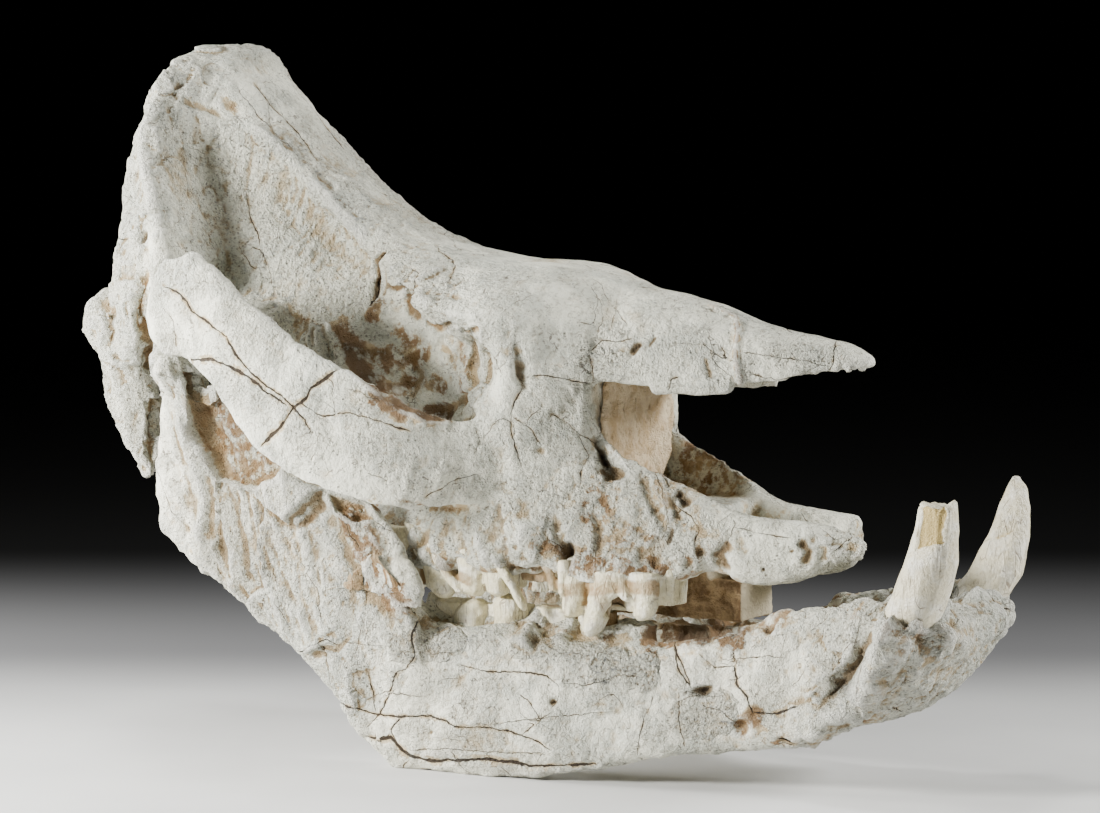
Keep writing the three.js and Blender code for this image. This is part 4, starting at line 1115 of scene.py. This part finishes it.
CHIN = [
    (5, 5, 0.9, 0.5, [(769, 628)]),
    (12, -4.5, 0, 0, [(841, 600)]),
    (17, -9, 0, 0, [(905, 614), (888, 642), (872, 676), (852, 706), (815, 724), (775, 739)]),
    (9, -3.5, 0, 0, [(900, 616), (880, 650), (866, 682)]),
    (10, -5, 0, 0, [(930, 618), (946, 634)]),
    (9, 6, 0.5, 0.3, [(866, 634), (856, 660), (842, 684), (824, 706)]),
    (5, 3.5, 0.5, 0.5, [(863, 640), (853, 668), (838, 690), (822, 708)]),
    (7, 4.5, 0.7, 0.25, [(905, 632), (920, 638), (934, 650)]),
    (8, 3.5, 0.5, 0, [(916, 656), (900, 680), (884, 700)]),
    (6, 3.5, 0.4, 0.35, [(890, 668)]),
    (9, 2, 0, 0, [(925, 680), (960, 668)]),
    (9, -3, 0, 0, [(950, 606), (958, 625), (962, 650)]),
    (3, 2.4, 1, 0.2, [(779, 739), (803, 744), (824, 747), (842, 736), (858, 723)]),
    (8, -1.5, 0, 0, [(975, 625), (965, 660)]),
]
TUSK_COLLAR = (8, -6.5, 0, 0, [(893, 606), (900, 619), (915, 628), (932, 627), (944, 615)])
for row in UPRIGHT_BRANCH + TOOTH_BEARING_BODY + CHIN:
    jaw.groove(*row)
jaw.groove(*TUSK_COLLAR, taper=False)

p, (x, y, z) = jaw.rest, jaw.rest.T
plate = ramp(x, -42, -62) * ramp(z, 30, 70)
tusk_sockets = ramp(x, 186, 202)
gum = hump(z, 88, 14) * ramp(x, -60, -40) * ramp(x, 170, 140)
shaded_inward = np.clip(-jaw.rest_n[:, 1] * np.sign(y) * 1.6 - 0.3, 0, 1) * ramp(z, 60, 90)
chips = inside(p, (-88, 90, 56), (40, 30, 46), 0.4)
rear_border = np.clip((-186 - 0.12 * (z - 150) - x) / 9, 0, 1) * ramp(z, 105, 125)
plate *= (1 - 0.85 * rear_border) * (1 - 0.6 * chips)
LEANING, STEEP, GUM_GRAIN = (-0.35, 0, 1), (-0.3, 0, 1), (0.5, 0, 1)
jaw.press(lambda q: layered(q, 24, 2, 53) * 0.9 + layered(q, 9, 3, 61, 0.65) * 0.7)
jaw.press(lambda q: layered(along_fibres(q, LEANING, 3.0), 12, 3, 71, 0.65) * 2.2
          - ridged(along_fibres(q, STEEP, 7), 6, 3, 75) * 1.2, plate)
jaw.press(lambda q: rubble(q, 24, 77) * 2.4, chips)
jaw.press(lambda q: layered(q, 12, 3, 81, 0.6) * 1.5 + rubble(q, 12, 83) * 1.2, tusk_sockets)
jaw.press(lambda q: layered(along_fibres(q, GUM_GRAIN, 2), 9, 3, 85) * 1.4 + rubble(q, 8, 87) * 0.8, gum)
jaw.hairlines((x < 160) & (x > -60) & (z < 85), (1, 0, 0.05), 80, 45, 211)
jaw.hairlines(x > 120, (0.7, 0, 0.6), 70, 32, 212)
jaw.hairlines(x < -60, LEANING, 60, 40, 213)
# painted shade, with ochre stain, on the walls that face inward
jaw.tone[:, 0] = np.maximum(jaw.tone[:, 0], shaded_inward * (0.75 + 0.25 * roughness_at(p, 14, 91)))

# Cracks and stains in rows like the cranium's.
JAW_CRACKS = [
    (0, 0.6, 0.6, [(296, 655), (311, 646), (327, 639), (336, 646)]),
    (0, 0.7, 0.7, [(327, 692), (349, 705), (374, 714), (400, 717), (432, 716), (447, 721), (457, 727),
        (485, 727), (512, 732), (535, 740), (550, 750)]),
    (1, 0.6, 0.6, [(408, 605), (417, 617), (411, 636), (415, 657), (405, 669), (396, 672), (390, 692),
        (380, 714), (367, 727)]),
    (2, 0.4, 0.4, [(321, 646), (330, 677), (331, 689)]),
    (2, 0.35, 0.3, [(352, 611), (361, 630), (355, 652)]),
    (0, 0.35, 0.3, [(342, 642), (365, 645), (392, 646)]),
    (2, 0.45, 0.4, [(364, 671), (372, 695), (376, 711)]),
    (2, 1.2, 1, [(365, 737), (377, 739), (390, 738), (400, 750), (415, 759), (435, 762), (462, 760),
        (490, 760), (510, 762), (530, 766), (562, 766), (595, 764)]),
    (1, 0.6, 0.6, [(400, 719), (390, 730), (395, 742), (400, 750)]),
    (0, 0.35, 0.3, [(400, 770), (407, 762)]),
    (0, 0.4, 0.3, [(460, 665), (490, 672), (525, 672), (547, 676), (558, 684), (560, 695), (552, 709)]),
    (1, 0.35, 0.3, [(562, 683), (585, 685), (600, 682), (620, 675), (642, 677)]),
    (1, 0.35, 0.3, [(551, 712), (538, 722), (522, 735)]),
    (2, 0.25, 0.2, [(487, 725), (525, 720), (552, 717), (612, 712)]),
    (1, 0.3, 0.2, [(410, 750), (450, 749), (490, 752), (555, 754)]),
    (0, 0.5, 0.5, [(675, 640), (677, 667), (690, 688)]),
    (2, 0.35, 0.3, [(654, 697), (645, 717), (640, 735), (637, 755)]),
    (2, 0.7, 0.6, [(754, 713), (777, 714), (798, 705)]),
    (0, 0.6, 0.6, [(733, 650), (735, 665), (737, 684), (748, 697), (753, 714)]),
    (1, 0.5, 0.4, [(674, 649), (685, 670), (690, 687)]),
    (1, 0.4, 0.4, [(679, 696), (679, 723), (685, 747)]),
    (0, 0.35, 0.3, [(700, 655), (715, 668), (735, 665)]),
    (2, 0.35, 0.3, [(700, 705), (722, 712), (735, 722)]),
    (1, 0.9, 0.9, [(779, 739), (803, 744), (824, 747), (842, 736), (858, 723)]),
    (2, 0.45, 0.4, [(860, 715), (885, 706), (905, 712), (925, 700)]),
    (0, 0.4, 0.3, [(969, 596), (990, 606), (1006, 614)]),
    (0, 0.45, 0.4, [(880, 640), (868, 660), (862, 690)]),
    (0, 0.35, 0.3, [(255, 560), (262, 590), (258, 612)]),
    (1, 0.35, 0.3, [(300, 560), (318, 590), (322, 620)]),
]
for row in JAW_CRACKS:
    jaw.crack(*row)

JAW_STAINS = [
    # the first rows, under the cheek arch and behind the last molar, are brown stain with painted shadow
    (20, 0.7, 0, 0, [(205, 400), (225, 440), (250, 465)]),
    (10, 0.9, 0.12, 0, [(207, 400), (222, 436)]),
    (12, 1, 0.15, 0, [(350, 520), (372, 560), (398, 602)]),
    (9, 0.4, 0, 0, [(215, 500), (220, 560), (235, 600)]),
    (12, 0.45, 0, 0, [(240, 610), (280, 650), (320, 690)]),
    (12, 0.4, 0, 0, [(330, 560), (370, 600)]),
    (20, 0.3, 0, 0.5, [(300, 540)]),
    (20, 0.2, 0, 0.9, [(270, 520), (250, 560)]),
    (10, 0.35, 0, 0.8, [(520, 645), (600, 650)]),
    (14, 0, 0, 1, [(600, 668), (640, 672)]),
    (12, 0.2, 0, 0.9, [(455, 640), (400, 645)]),
    (16, 0.3, 0, 0.8, [(690, 720), (720, 710)]),
    (12, 0.9, 0, 0, [(700, 615), (740, 620), (780, 618)]),
    (12, 1, 0.25, 0, [(655, 630), (690, 634), (740, 634)]),
    (7, 1, 0.6, 0, [(680, 632), (705, 640)]),
    (6, 1, 0.6, 0, [(735, 632)]),
    (4, 0.6, 0, 0, [(405, 612), (440, 626), (500, 624), (560, 634), (620, 640), (660, 632)]),
    (14, 0.7, 0, 0, [(900, 632), (925, 645)]),
    (12, 0.4, 0, 0, [(880, 690), (900, 660)]),
    (9, 0.7, 0, 0, [(760, 735), (800, 742), (850, 730)]),
    (9, 0.9, 0.2, 0, [(742, 726), (756, 716)]),
    (14, 0, 0, 1, [(840, 680)]),
    (8, 0.5, 0, 0, [(400, 756), (420, 768)]),
    (9, 0.6, 0, 0, [(800, 742), (850, 734), (880, 716)]),
    (10, 0.45, 0, 0, [(905, 690), (940, 676), (975, 650)]),
    (8, 0.35, 0, 0, [(620, 650), (680, 650), (740, 640), (800, 615)]),
    (8, 0.5, 0, 0, [(860, 615), (885, 600), (900, 592)]),
]
RIGHT_SOCKET_STAIN = (16, 0.45, 0, 0, [(905, 640), (935, 650), (965, 640)])
for row in JAW_STAINS:
    jaw.tint(*row)
jaw.tint(*RIGHT_SOCKET_STAIN, both=False)
jaw.finish()
JAW_CUTS = {
    "mandible_ramus": [(-FAR, -64, 0, FAR, -FAR, FAR), (-64, -48, 0, FAR, 96, FAR)],
    "mandible_symphysis": [(168, FAR, -FAR, FAR, -FAR, FAR)],
    "mandible_body_right": [(-FAR, FAR, -FAR, 0, -FAR, FAR)],
}
jaw_bone = bone_material("jaw_bone", Pale=(0.83, 0.81, 0.68, 1), Tan=(0.58, 0.45, 0.27, 1))
parted(jaw, JAW_CUTS, JAW, jaw_bone)

# ---------------------------------------------------------------- upper cheek teeth
# Worn, leaning teeth whose roots show where the bone over them has flaked away. Each has a grinding
# block and lobes down its outer wall; both rows are welded and carved as one.
LOBE_LEVELS, LOBE_SIDES = 16, 20
BLOCK_LEVELS, BLOCK_SIDES = 6, 32
TOOTH_VOXEL = 1.1


def stack(around, levels, spot):
    """A closed column of rings; spot gives the place of ring k's point in direction (c, s)."""
    bm = bmesh.new()
    start = bmesh.ops.create_circle(bm, segments=around, radius=1, cap_ends=True)["verts"][:]
    flat = [(v.co.x, v.co.y) for v in start]
    edges = bm.edges[:]
    rings = [start]
    for k in range(levels):
        made = bmesh.ops.extrude_edge_only(bm, edges=edges)["geom"]
        verts = {v for v in made if isinstance(v, bmesh.types.BMVert)}
        edges = [e for e in made if isinstance(e, bmesh.types.BMEdge) and verts.issuperset(e.verts)]
        by_place = {(round(v.co.x, 5), round(v.co.y, 5)): v for v in verts}
        rings.append([by_place[(round(c, 5), round(s, 5))] for c, s in flat])
    bmesh.ops.contextual_create(bm, geom=edges)
    for k, verts in enumerate(rings):
        for v, (c, s) in zip(verts, flat):
            v.co = spot(k, c, s)
    bmesh.ops.recalc_face_normals(bm, faces=bm.faces)
    # extruding leaves edges and faces in a chance order
    bm.verts.index_update()
    for parts in (bm.edges, bm.faces):
        parts.sort(key=lambda part: sum(v.index ** 2 for v in part.verts))
    return bm


def boxy(value, power):
    """Turns a circle's cosine or sine into a rounded square's; a lower power is squarer."""
    return math.copysign(abs(value) ** power, value)


def lobe(side, out, depth, stations):
    """A tapering lobe with a round outer face; stations are (x, z, half width) from root to tip."""
    at = np.linspace(0, len(stations) - 1, LOBE_LEVELS + 1)
    x, z, half = (np.interp(at, range(len(stations)), [row[k] for row in stations]) for k in range(3))

    def spot(k, c, s):
        end = 1 - 0.5 * max(0, k - LOBE_LEVELS + 2) / 2
        across = out - depth / 2 + depth / 2 * end * boxy(s, 0.85)
        return place(x[k] + half[k] * end * boxy(c, 0.85), side * across, z[k])
    return stack(LOBE_SIDES, LOBE_LEVELS, spot)


def grinding_block(side, rear, front, out, width, low, top):
    """The squarish crown of a molar, a little narrower toward its chewing face."""
    def spot(k, c, s):
        t = k / BLOCK_LEVELS
        shrink = 1 - 0.12 * t
        return place((rear + front) / 2 + (front - rear) / 2 * boxy(c, 0.45) * shrink,
                     side * (out - width / 2 + width / 2 * boxy(s, 0.5) * shrink), top + (low - top) * t)
    return stack(BLOCK_SIDES, BLOCK_LEVELS, spot)


def tooth_rows(name, blocks, lobes):
    """Both rows of one jaw: every block and lobe welded into one skin."""
    bm = bmesh.new()
    for side in (-1, 1):
        teeth = [grinding_block(side, *sizes) for sizes in blocks] + [lobe(side, *sizes) for sizes in lobes]
        for tooth in teeth:
            part = bpy.data.meshes.new("tooth_part")
            tooth.to_mesh(part)
            tooth.free()
            bm.from_mesh(part)
    skin = Skin(weld(new_object(name, bm), TOOTH_VOXEL))
    skin.smooth(3)
    skin.survey()
    return skin


# grinding blocks: rear, front, outer face, width, lower and upper level
UPPER_BLOCKS = [(-59, -25, 71, 34, 105, 130), (-24, 11, 72, 38, 105, 130), (12, 41, 64, 34, 112, 130),
                (42, 67, 66, 36, 99, 128), (68, 92, 61, 32, 98, 126), (93, 112, 54, 24, 102, 124)]
# lobes: outer face, depth, then stations of place, height and half width from root to tip
UPPER_LOBES = [
    # last molar: rear lobe, front lobe
    (75.5, 15, [(-64, 140, 6.8), (-58, 127, 6.8), (-54, 115, 6.3), (-54, 105, 5.7), (-55, 98, 2.6)]),
    (77, 15, [(-53, 143, 4), (-46, 128, 4.6), (-37, 116, 6.8), (-33, 107, 8.5), (-30, 100, 4.6)]),
    # second molar: rear root, rear lobe, front lobe, splinter
    (78.5, 12, [(-37, 132, 2.8), (-30, 120, 3.4), (-21, 110, 4.6), (-13, 103, 4)]),
    (77, 16, [(-14, 130, 8.5), (-12, 120, 8), (-11, 112, 8), (-10, 102, 6.3)]),
    (77.5, 16, [(2, 130, 6.8), (4, 118, 7.4), (5, 110, 7.4), (6, 103, 5.7)]),
    (79.5, 7, [(1, 138, 3.4), (9, 125, 4), (18, 112, 3.4), (25, 102, 2.6), (27, 96, 0.9)]),
    # first molar: stump, knob, front lobe
    (72, 10, [(38, 123, 4.6), (41, 115, 4), (42, 108, 2.8)]),
    (74, 9, [(50, 127, 3.4), (50, 116, 4), (50, 106, 2.8)]),
    (73, 15, [(55, 118, 8), (55, 107, 7.4), (54, 100, 6.3), (54, 94, 4)]),
    # fourth premolar, then the third: rear lobe, front lobe
    (71, 16, [(75, 122, 11.4), (73, 111, 10.8), (69, 100, 8), (66, 91, 5.7), (64, 84, 4)]),
    (68, 12, [(82, 122, 5.7), (85, 112, 5.7), (88, 105, 3.4)]),
    (66, 14, [(95, 122, 9.7), (95, 109, 9.7), (97, 102, 7.4), (95, 94, 5.1)]),
]
ENAMEL_COLOURS = (("Glaze", (0.74, 0.68, 0.47, 1)), ("Chalk", (0.82, 0.79, 0.66, 1)),
                  ("Stain", (0.33, 0.21, 0.09, 1)))
STREAK_GREY, PIT_BROWN_AND_SHADE = (0.45, 0.4, 0.31, 1), (0.42, 0.35, 0.22, 1)
HAIR_BROWN, DEEP_SHADE = (0.16, 0.1, 0.06, 1), (0.05, 0.035, 0.02, 1)


def old_enamel():
    """Shader group for enamel and tusk: cream glaze with upright hairlines, stained and given painted shade
    in its grooves.
    """
    tree, w = new_surface_group("old_enamel", ENAMEL_COLOURS)
    given, ends = w.node("NodeGroupInput").outputs, w.node("NodeGroupOutput").inputs
    where, upright = w.place(), w.place((1, 1, 0.16))
    stain, dark, chalk = w.parts(w.attribute("tone"))
    hollow = w.attribute("hollow", "Fac")
    cloud = w.noise(where, 11, 4, 0.6)
    streak = w.noise(upright, 1.6, 3, 0.6)
    colour = w.blend(w.fade(w.calc("ADD", cloud, w.calc("MULTIPLY", chalk, 0.6)), 0.42, 0.66), given["Glaze"],
                     given["Chalk"])
    colour = w.blend(w.fade(streak, 0.55, 0.8, 0.0, 0.35), colour, STREAK_GREY)
    # brown with painted shade in the low spots of the fine relief
    colour = w.blend(w.fade(w.noise(where, 2.6, 3, 0.7), 0.5, 0.34, 0.0, 0.4), colour, PIT_BROWN_AND_SHADE)
    hair = w.calc("MULTIPLY", w.fade(w.cells(upright, 6, "DISTANCE_TO_EDGE"), 0.035, 0.008),
                  w.fade(w.noise(where, 13, 2), 0.45, 0.6))
    colour = w.blend(w.calc("MULTIPLY", hair, 0.65), colour, HAIR_BROWN)
    # stain, with painted shade where the surface is hollow
    soiled = w.calc("ADD", stain, w.calc("MULTIPLY_ADD", cloud, 0.6, -0.42))
    dirt_and_shade = w.fade(w.calc("ADD", w.calc("MULTIPLY", hollow, 0.18), soiled), 0.2, 1.0)
    colour = w.blend(dirt_and_shade, colour, given["Stain"])
    # near black painted shade in holes and deep spots
    colour = w.blend(w.calc("MULTIPLY", dark, 0.95), colour, DEEP_SHADE)
    tree.links.new(colour, ends["Color"])
    dull = w.calc("MULTIPLY_ADD", dirt_and_shade, 0.25, 0.2)
    tree.links.new(w.calc("MULTIPLY_ADD", cloud, 0.35, dull), ends["Roughness"])
    rough = w.calc("MULTIPLY_ADD", w.noise(where, 2.6, 3, 0.7), 1.6, w.calc("MULTIPLY", streak, 1.0))
    tree.links.new(w.calc("MULTIPLY_ADD", hair, -0.4, rough), ends["Height"])
    return tree


def enamel_material(name, **colours):
    return skull_material(name, enamel_group, 0.8, **colours)[0]


enamel_group = old_enamel()
enamel = enamel_material("cheek_tooth_enamel")


def worn_teeth(skin, seed, material):
    """Weathers a pair of rows, and hands them over as one piece."""
    skin.press(lambda q: layered(along_fibres(q, (0, 0, 1), 2.5), 6, 3, seed) * 0.4
               + layered(q, 13, 2, seed + 9) * 0.6 + rubble(q, 7, seed + 3) * 0.35)
    blotches = np.clip(roughness_at(skin.rest, 9, seed + 5) * 0.45, 0, 1)
    skin.tone[:, 0] = np.maximum(skin.tone[:, 0], blotches)
    skin.finish()
    skin.mesh.materials.append(material)
    skin.mesh.shade_smooth()
    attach(skin.obj, "root")


UPPER_GROOVES = [
    (3, 2, 0.8, 0, [(422, 566), (423, 580), (421, 596)]),
    (3, -0.8, 0, 0, [(430, 575), (446, 590)]),
    (3, 1.2, 0.4, 0, [(483, 555), (484, 575), (485, 596)]),
    (7, 5, 1, 0.7, [(617, 602), (613, 616), (611, 632)]),
    (3, 1.6, 0.7, 0, [(588, 585), (584, 612), (580, 630)]),
    (3, 0.8, 0.5, 0, [(563, 570), (565, 578), (562, 586), (565, 592)]),
]
UPPER_STAINS = [
    (6, 0.9, 0, 0, [(556, 590), (590, 589), (625, 587), (658, 588)]),
    (6, 0.7, 0.2, 0, [(600, 600), (612, 616), (616, 628)]),
    (13, 1, 0.75, 0, [(537, 588)]),
    (9, 1, 0.3, 0, [(524, 575), (548, 574)]),
    (5, 0.9, 0.2, 0, [(447, 570), (458, 576), (468, 582)]),
    (5, 0.7, 0, 0, [(590, 576), (620, 582)]),
    (5, 0.3, 0, 0, [(572, 606), (574, 618)]),
    (5, 0.4, 0, 0, [(412, 560), (404, 566)]),
]
UPPER_CRACKS = [
    (0, 0.28, 0.2, [(400, 563), (411, 568), (422, 566)]),
    (1, 0.28, 0.2, [(424, 571), (434, 566), (444, 573)]),
    (2, 0.28, 0.2, [(603, 596), (601, 612), (596, 628)]),
    (0, 0.28, 0.2, [(436, 574), (441, 585), (438, 596)]),
    (1, 0.28, 0.2, [(560, 612), (572, 609), (584, 612)]),
    (2, 0.28, 0.2, [(500, 566), (503, 580), (508, 592)]),
]
upper_teeth = tooth_rows("upper_cheek_teeth", UPPER_BLOCKS, UPPER_LOBES)
for row in UPPER_GROOVES:
    upper_teeth.groove(*row)
for row in UPPER_STAINS:
    upper_teeth.tint(*row)
for row in UPPER_CRACKS:
    upper_teeth.crack(*row)
worn_teeth(upper_teeth, 120, enamel)

# ---------------------------------------------------------------- lower cheek teeth
# Narrower teeth set inside the upper row; only low lens-shaped walls and one leaning root show in the
# slit between the closed jaws.
LOWER_BLOCKS = [(-45, -11, 67, 19, 97, 76), (-10, 21, 65, 19, 97, 76), (22, 48, 62, 19, 97, 76),
                (49, 72, 59, 18, 96, 76)]
# third molar, second molar
LOWER_LOBES = [
    (71.5, 16, [(-17, 71, 12), (-17, 85, 12), (-16, 92, 10.3), (-12, 100, 5.1)]),
    (70, 16, [(8, 72, 9.1), (8, 89, 8), (8, 97, 9.1), (8, 103, 8)]),
]
LOWER_STAINS = [
    (5, 0.4, 0, 0, [(446, 618), (468, 622), (488, 612)]),
    (9, 0.8, 0.2, 0, [(537, 600), (550, 606)]),
    (8, 0.8, 0.3, 0, [(600, 636), (620, 636)]),
    (13, 1.2, 0.3, 0, [(606, 618), (640, 616), (700, 620)]),
]
LOWER_CRACK = (0, 0.3, 0.2, [(470, 622), (476, 612), (484, 605)])
lower_teeth = tooth_rows("lower_cheek_teeth", LOWER_BLOCKS, LOWER_LOBES)
for row in LOWER_STAINS:
    lower_teeth.tint(*row)
lower_teeth.crack(*LOWER_CRACK)
worn_teeth(lower_teeth, 140, enamel)

# ---------------------------------------------------------------- tusks
# The second lower incisors: curved ivory rods, flat on their worn inner face. The left one is whole and
# ends in a blade; the right one snapped off halfway and shows yellow dentine.
# Stations up a tusk: height, front, rear, distance from the middle plane, half thickness.
ROOT = [(66, 246, 212, 37, 12), (86, 259, 222, 41, 15), (104, 270, 236, 45, 16.5)]
TUSKS = {
    "tusk_left": (1, ROOT + [(120, 279, 248, 50, 14), (141, 281, 257, 57, 11.5), (157, 279, 261, 63, 8),
                             (168, 275, 264, 67, 4.5), (173.6, 270.5, 267, 69, 1.2)]),
    "tusk_right": (-1, ROOT + [(120, 277, 246, 48, 15.5), (138, 282.5, 254, 51.5, 13.5),
                               (155, 284.5, 260, 54, 11), (171.6, 284.8, 265, 57, 8.5)]),
}
TUSK_SIDES, TUSK_LEVELS, TUSK_CAP = 64, 90, 8
SNAPPED_AT = 168
TUSK_GROOVES = {
    "tusk_right": [(3, 1, 0, 0, [(944, 506), (943, 540), (940, 580)]),
                   (3, -0.6, 0, 0, [(921, 520), (912, 560), (900, 600)])],
    "tusk_left": [(3, -0.8, 0, 0, [(1018, 487), (1016, 530), (1000, 580), (985, 600)]),
                  (2.5, 1.2, 0.6, 0, [(990, 540), (1000, 536), (1014, 531)])],
}
TUSK_STAINS = {
    "tusk_right": [(7, 0.35, 0, 0, [(918, 560), (910, 585), (900, 610)]),
                   (7, 0.3, 0.2, 0, [(930, 575), (930, 600)])],
    "tusk_left": [(12, 0.45, 0, 0, [(985, 592), (998, 565), (1008, 532)])],
}
DENTINE_FACET = [(920, 506), (945, 501), (949, 512), (945, 545), (917, 552)]
LEFT_TIP_CRACK = (0, 0.5, 0.5, [(988, 538), (1000, 535), (1014, 530)])
ivory = enamel_material("tusk_ivory", Glaze=(0.7, 0.64, 0.47, 1), Chalk=(0.78, 0.75, 0.64, 1),
                        Stain=(0.46, 0.34, 0.13, 1))


def tusk_rod(side, stations):
    """A curved rod through the stations, rounded off at its upper end."""
    heights = [row[0] for row in stations]
    below_cap = TUSK_LEVELS - TUSK_CAP

    def spot(k, c, s):
        height = heights[0] + (heights[-1] - heights[0]) * min(1.0, k / below_cap)
        front, rear, y, half = [np.interp(height, heights, [row[j] for row in stations]) for j in range(1, 5)]
        shrink = 1 - 0.92 * max(0, k - below_cap) / TUSK_CAP
        return place((front + rear) / 2 + boxy(c, 0.85) * (front - rear) / 2 * shrink,
                     side * (y + (s if s > 0 else s * 0.8) * half * shrink), height)
    return stack(TUSK_SIDES, TUSK_LEVELS, spot)


for name, (side, stations) in TUSKS.items():
    tusk = Skin(new_object(name + "_ivory", tusk_rod(side, stations)))
    tusk.smooth(3)
    tusk.survey()
    p, z = tusk.rest, tusk.rest[:, 2]
    tusk.press(lambda q: layered(along_fibres(q, (0.2, 0, 1), 6), 5, 3, 151) * 0.5
               + layered(q, 14, 2, 155) * 0.5)
    if name == "tusk_right":
        tusk.p[:, 2] += ramp(z, SNAPPED_AT, SNAPPED_AT + 3) * (layered(p, 6, 3, 161) * 2.2 - 2.0)
        tusk.sink(DENTINE_FACET, 1.4, 2.0, stain=1.3, least=20.0, both=False)
    else:
        tusk.crack(*LEFT_TIP_CRACK, both=False)
    for row in TUSK_GROOVES[name]:
        tusk.groove(*row, both=False)
    for row in TUSK_STAINS[name]:
        tusk.tint(*row, both=False)
    tusk.finish()
    tusk.mesh.materials.append(ivory)
    tusk.mesh.shade_smooth()
    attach(tusk.obj, "root")
    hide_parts(name)

# ---------------------------------------------------------------- sediment
# Rusty sand and clay, left by the preparator as a wall across the nose and a block in the mouth that
# props the jaws apart. Its cut faces are scraped and crumbly.
CLAY_PALE, CLAY_RUSTY = (0.86, 0.7, 0.48, 1), (0.62, 0.44, 0.25, 1)
SAND_PINK, HOLLOW_SHADE_BROWN, DUST_CREAM = (0.72, 0.56, 0.42, 1), (0.2, 0.11, 0.05, 1), (0.8, 0.71, 0.53, 1)
SHADED_IRON_BROWN, SHADED_IRON_DARK = (0.5, 0.33, 0.16, 1), (0.17, 0.09, 0.035, 1)
SCRAPE_DEPTH = {"nasal_matrix": 0.9, "mouth_matrix": 1.3}
MATRIX_VOXEL, MATRIX_SMOOTHING = 2.2, 2
sediment, w, surface = blank_material("sediment")
where = w.place()
clod, sand, gritty = w.noise(where, 13, 4, 0.65), w.noise(where, 2.6, 4, 0.7), w.noise(where, 0.9, 2)
colour = w.blend(w.fade(clod, 0.36, 0.66), CLAY_PALE, CLAY_RUSTY)
colour = w.blend(w.fade(sand, 0.52, 0.72, 0.0, 0.7), colour, SAND_PINK)
# painted shade in the hollows of the sediment
colour = w.blend(w.fade(w.attribute("hollow", "Fac"), 0.3, 1.6, 0.0, 0.85), colour, HOLLOW_SHADE_BROWN)
stain, dark, chalky = w.parts(w.attribute("tone"))
# rusty clay in painted shade, where the tone marks it: on the block in the mouth
shaded_iron = w.blend(w.fade(clod, 0.4, 0.6), SHADED_IRON_BROWN, SHADED_IRON_DARK)
colour = w.blend(w.calc("MULTIPLY", stain, 0.8), colour, shaded_iron)
colour = w.blend(w.calc("MULTIPLY", chalky, 0.85), colour, DUST_CREAM)
height = w.calc("MULTIPLY_ADD", gritty, 1.2, w.calc("MULTIPLY", clod, 6.0))
height = w.calc("MULTIPLY_ADD", sand, 3.6, height)
relief = w.node("ShaderNodeBump", {"Height": height, "Distance": 0.001, "Strength": 1.0})
w.tree.links.new(colour, surface.inputs["Base Color"])
w.tree.links.new(relief.outputs[0], surface.inputs["Normal"])
surface.inputs["Roughness"].default_value = 0.95
surface.inputs["Specular IOR Level"].default_value = 0.2
for name, depth in SCRAPE_DEPTH.items():
    block = welded_skin(name + "_sediment", [name], MATRIX_VOXEL, MATRIX_SMOOTHING)
    block.survey()
    flank = np.ones(block.count)
    if name == "mouth_matrix":
        flank = np.abs(block.rest_n[:, 1]) + 0.3 * np.abs(block.rest_n[:, 2])
        # painted shade: every face of the mouth block but the forward one turns iron brown; the forward face
        # is cream
        front_face = np.clip(block.rest_n[:, 0] * 2 - 0.6, 0, 1)
        block.tone[:, 0], block.tone[:, 2] = 1 - front_face, front_face
    block.press(lambda q: (layered(q, 9, 4, 171, 0.6) * depth + rubble(q, 11, 175) * 0.6 * depth - 0.4)
                * np.clip(flank, 0.25, 1))
    block.finish()
    block.mesh.materials.append(sediment)
    block.mesh.shade_smooth()
    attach(block.obj, "root")
    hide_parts(name)
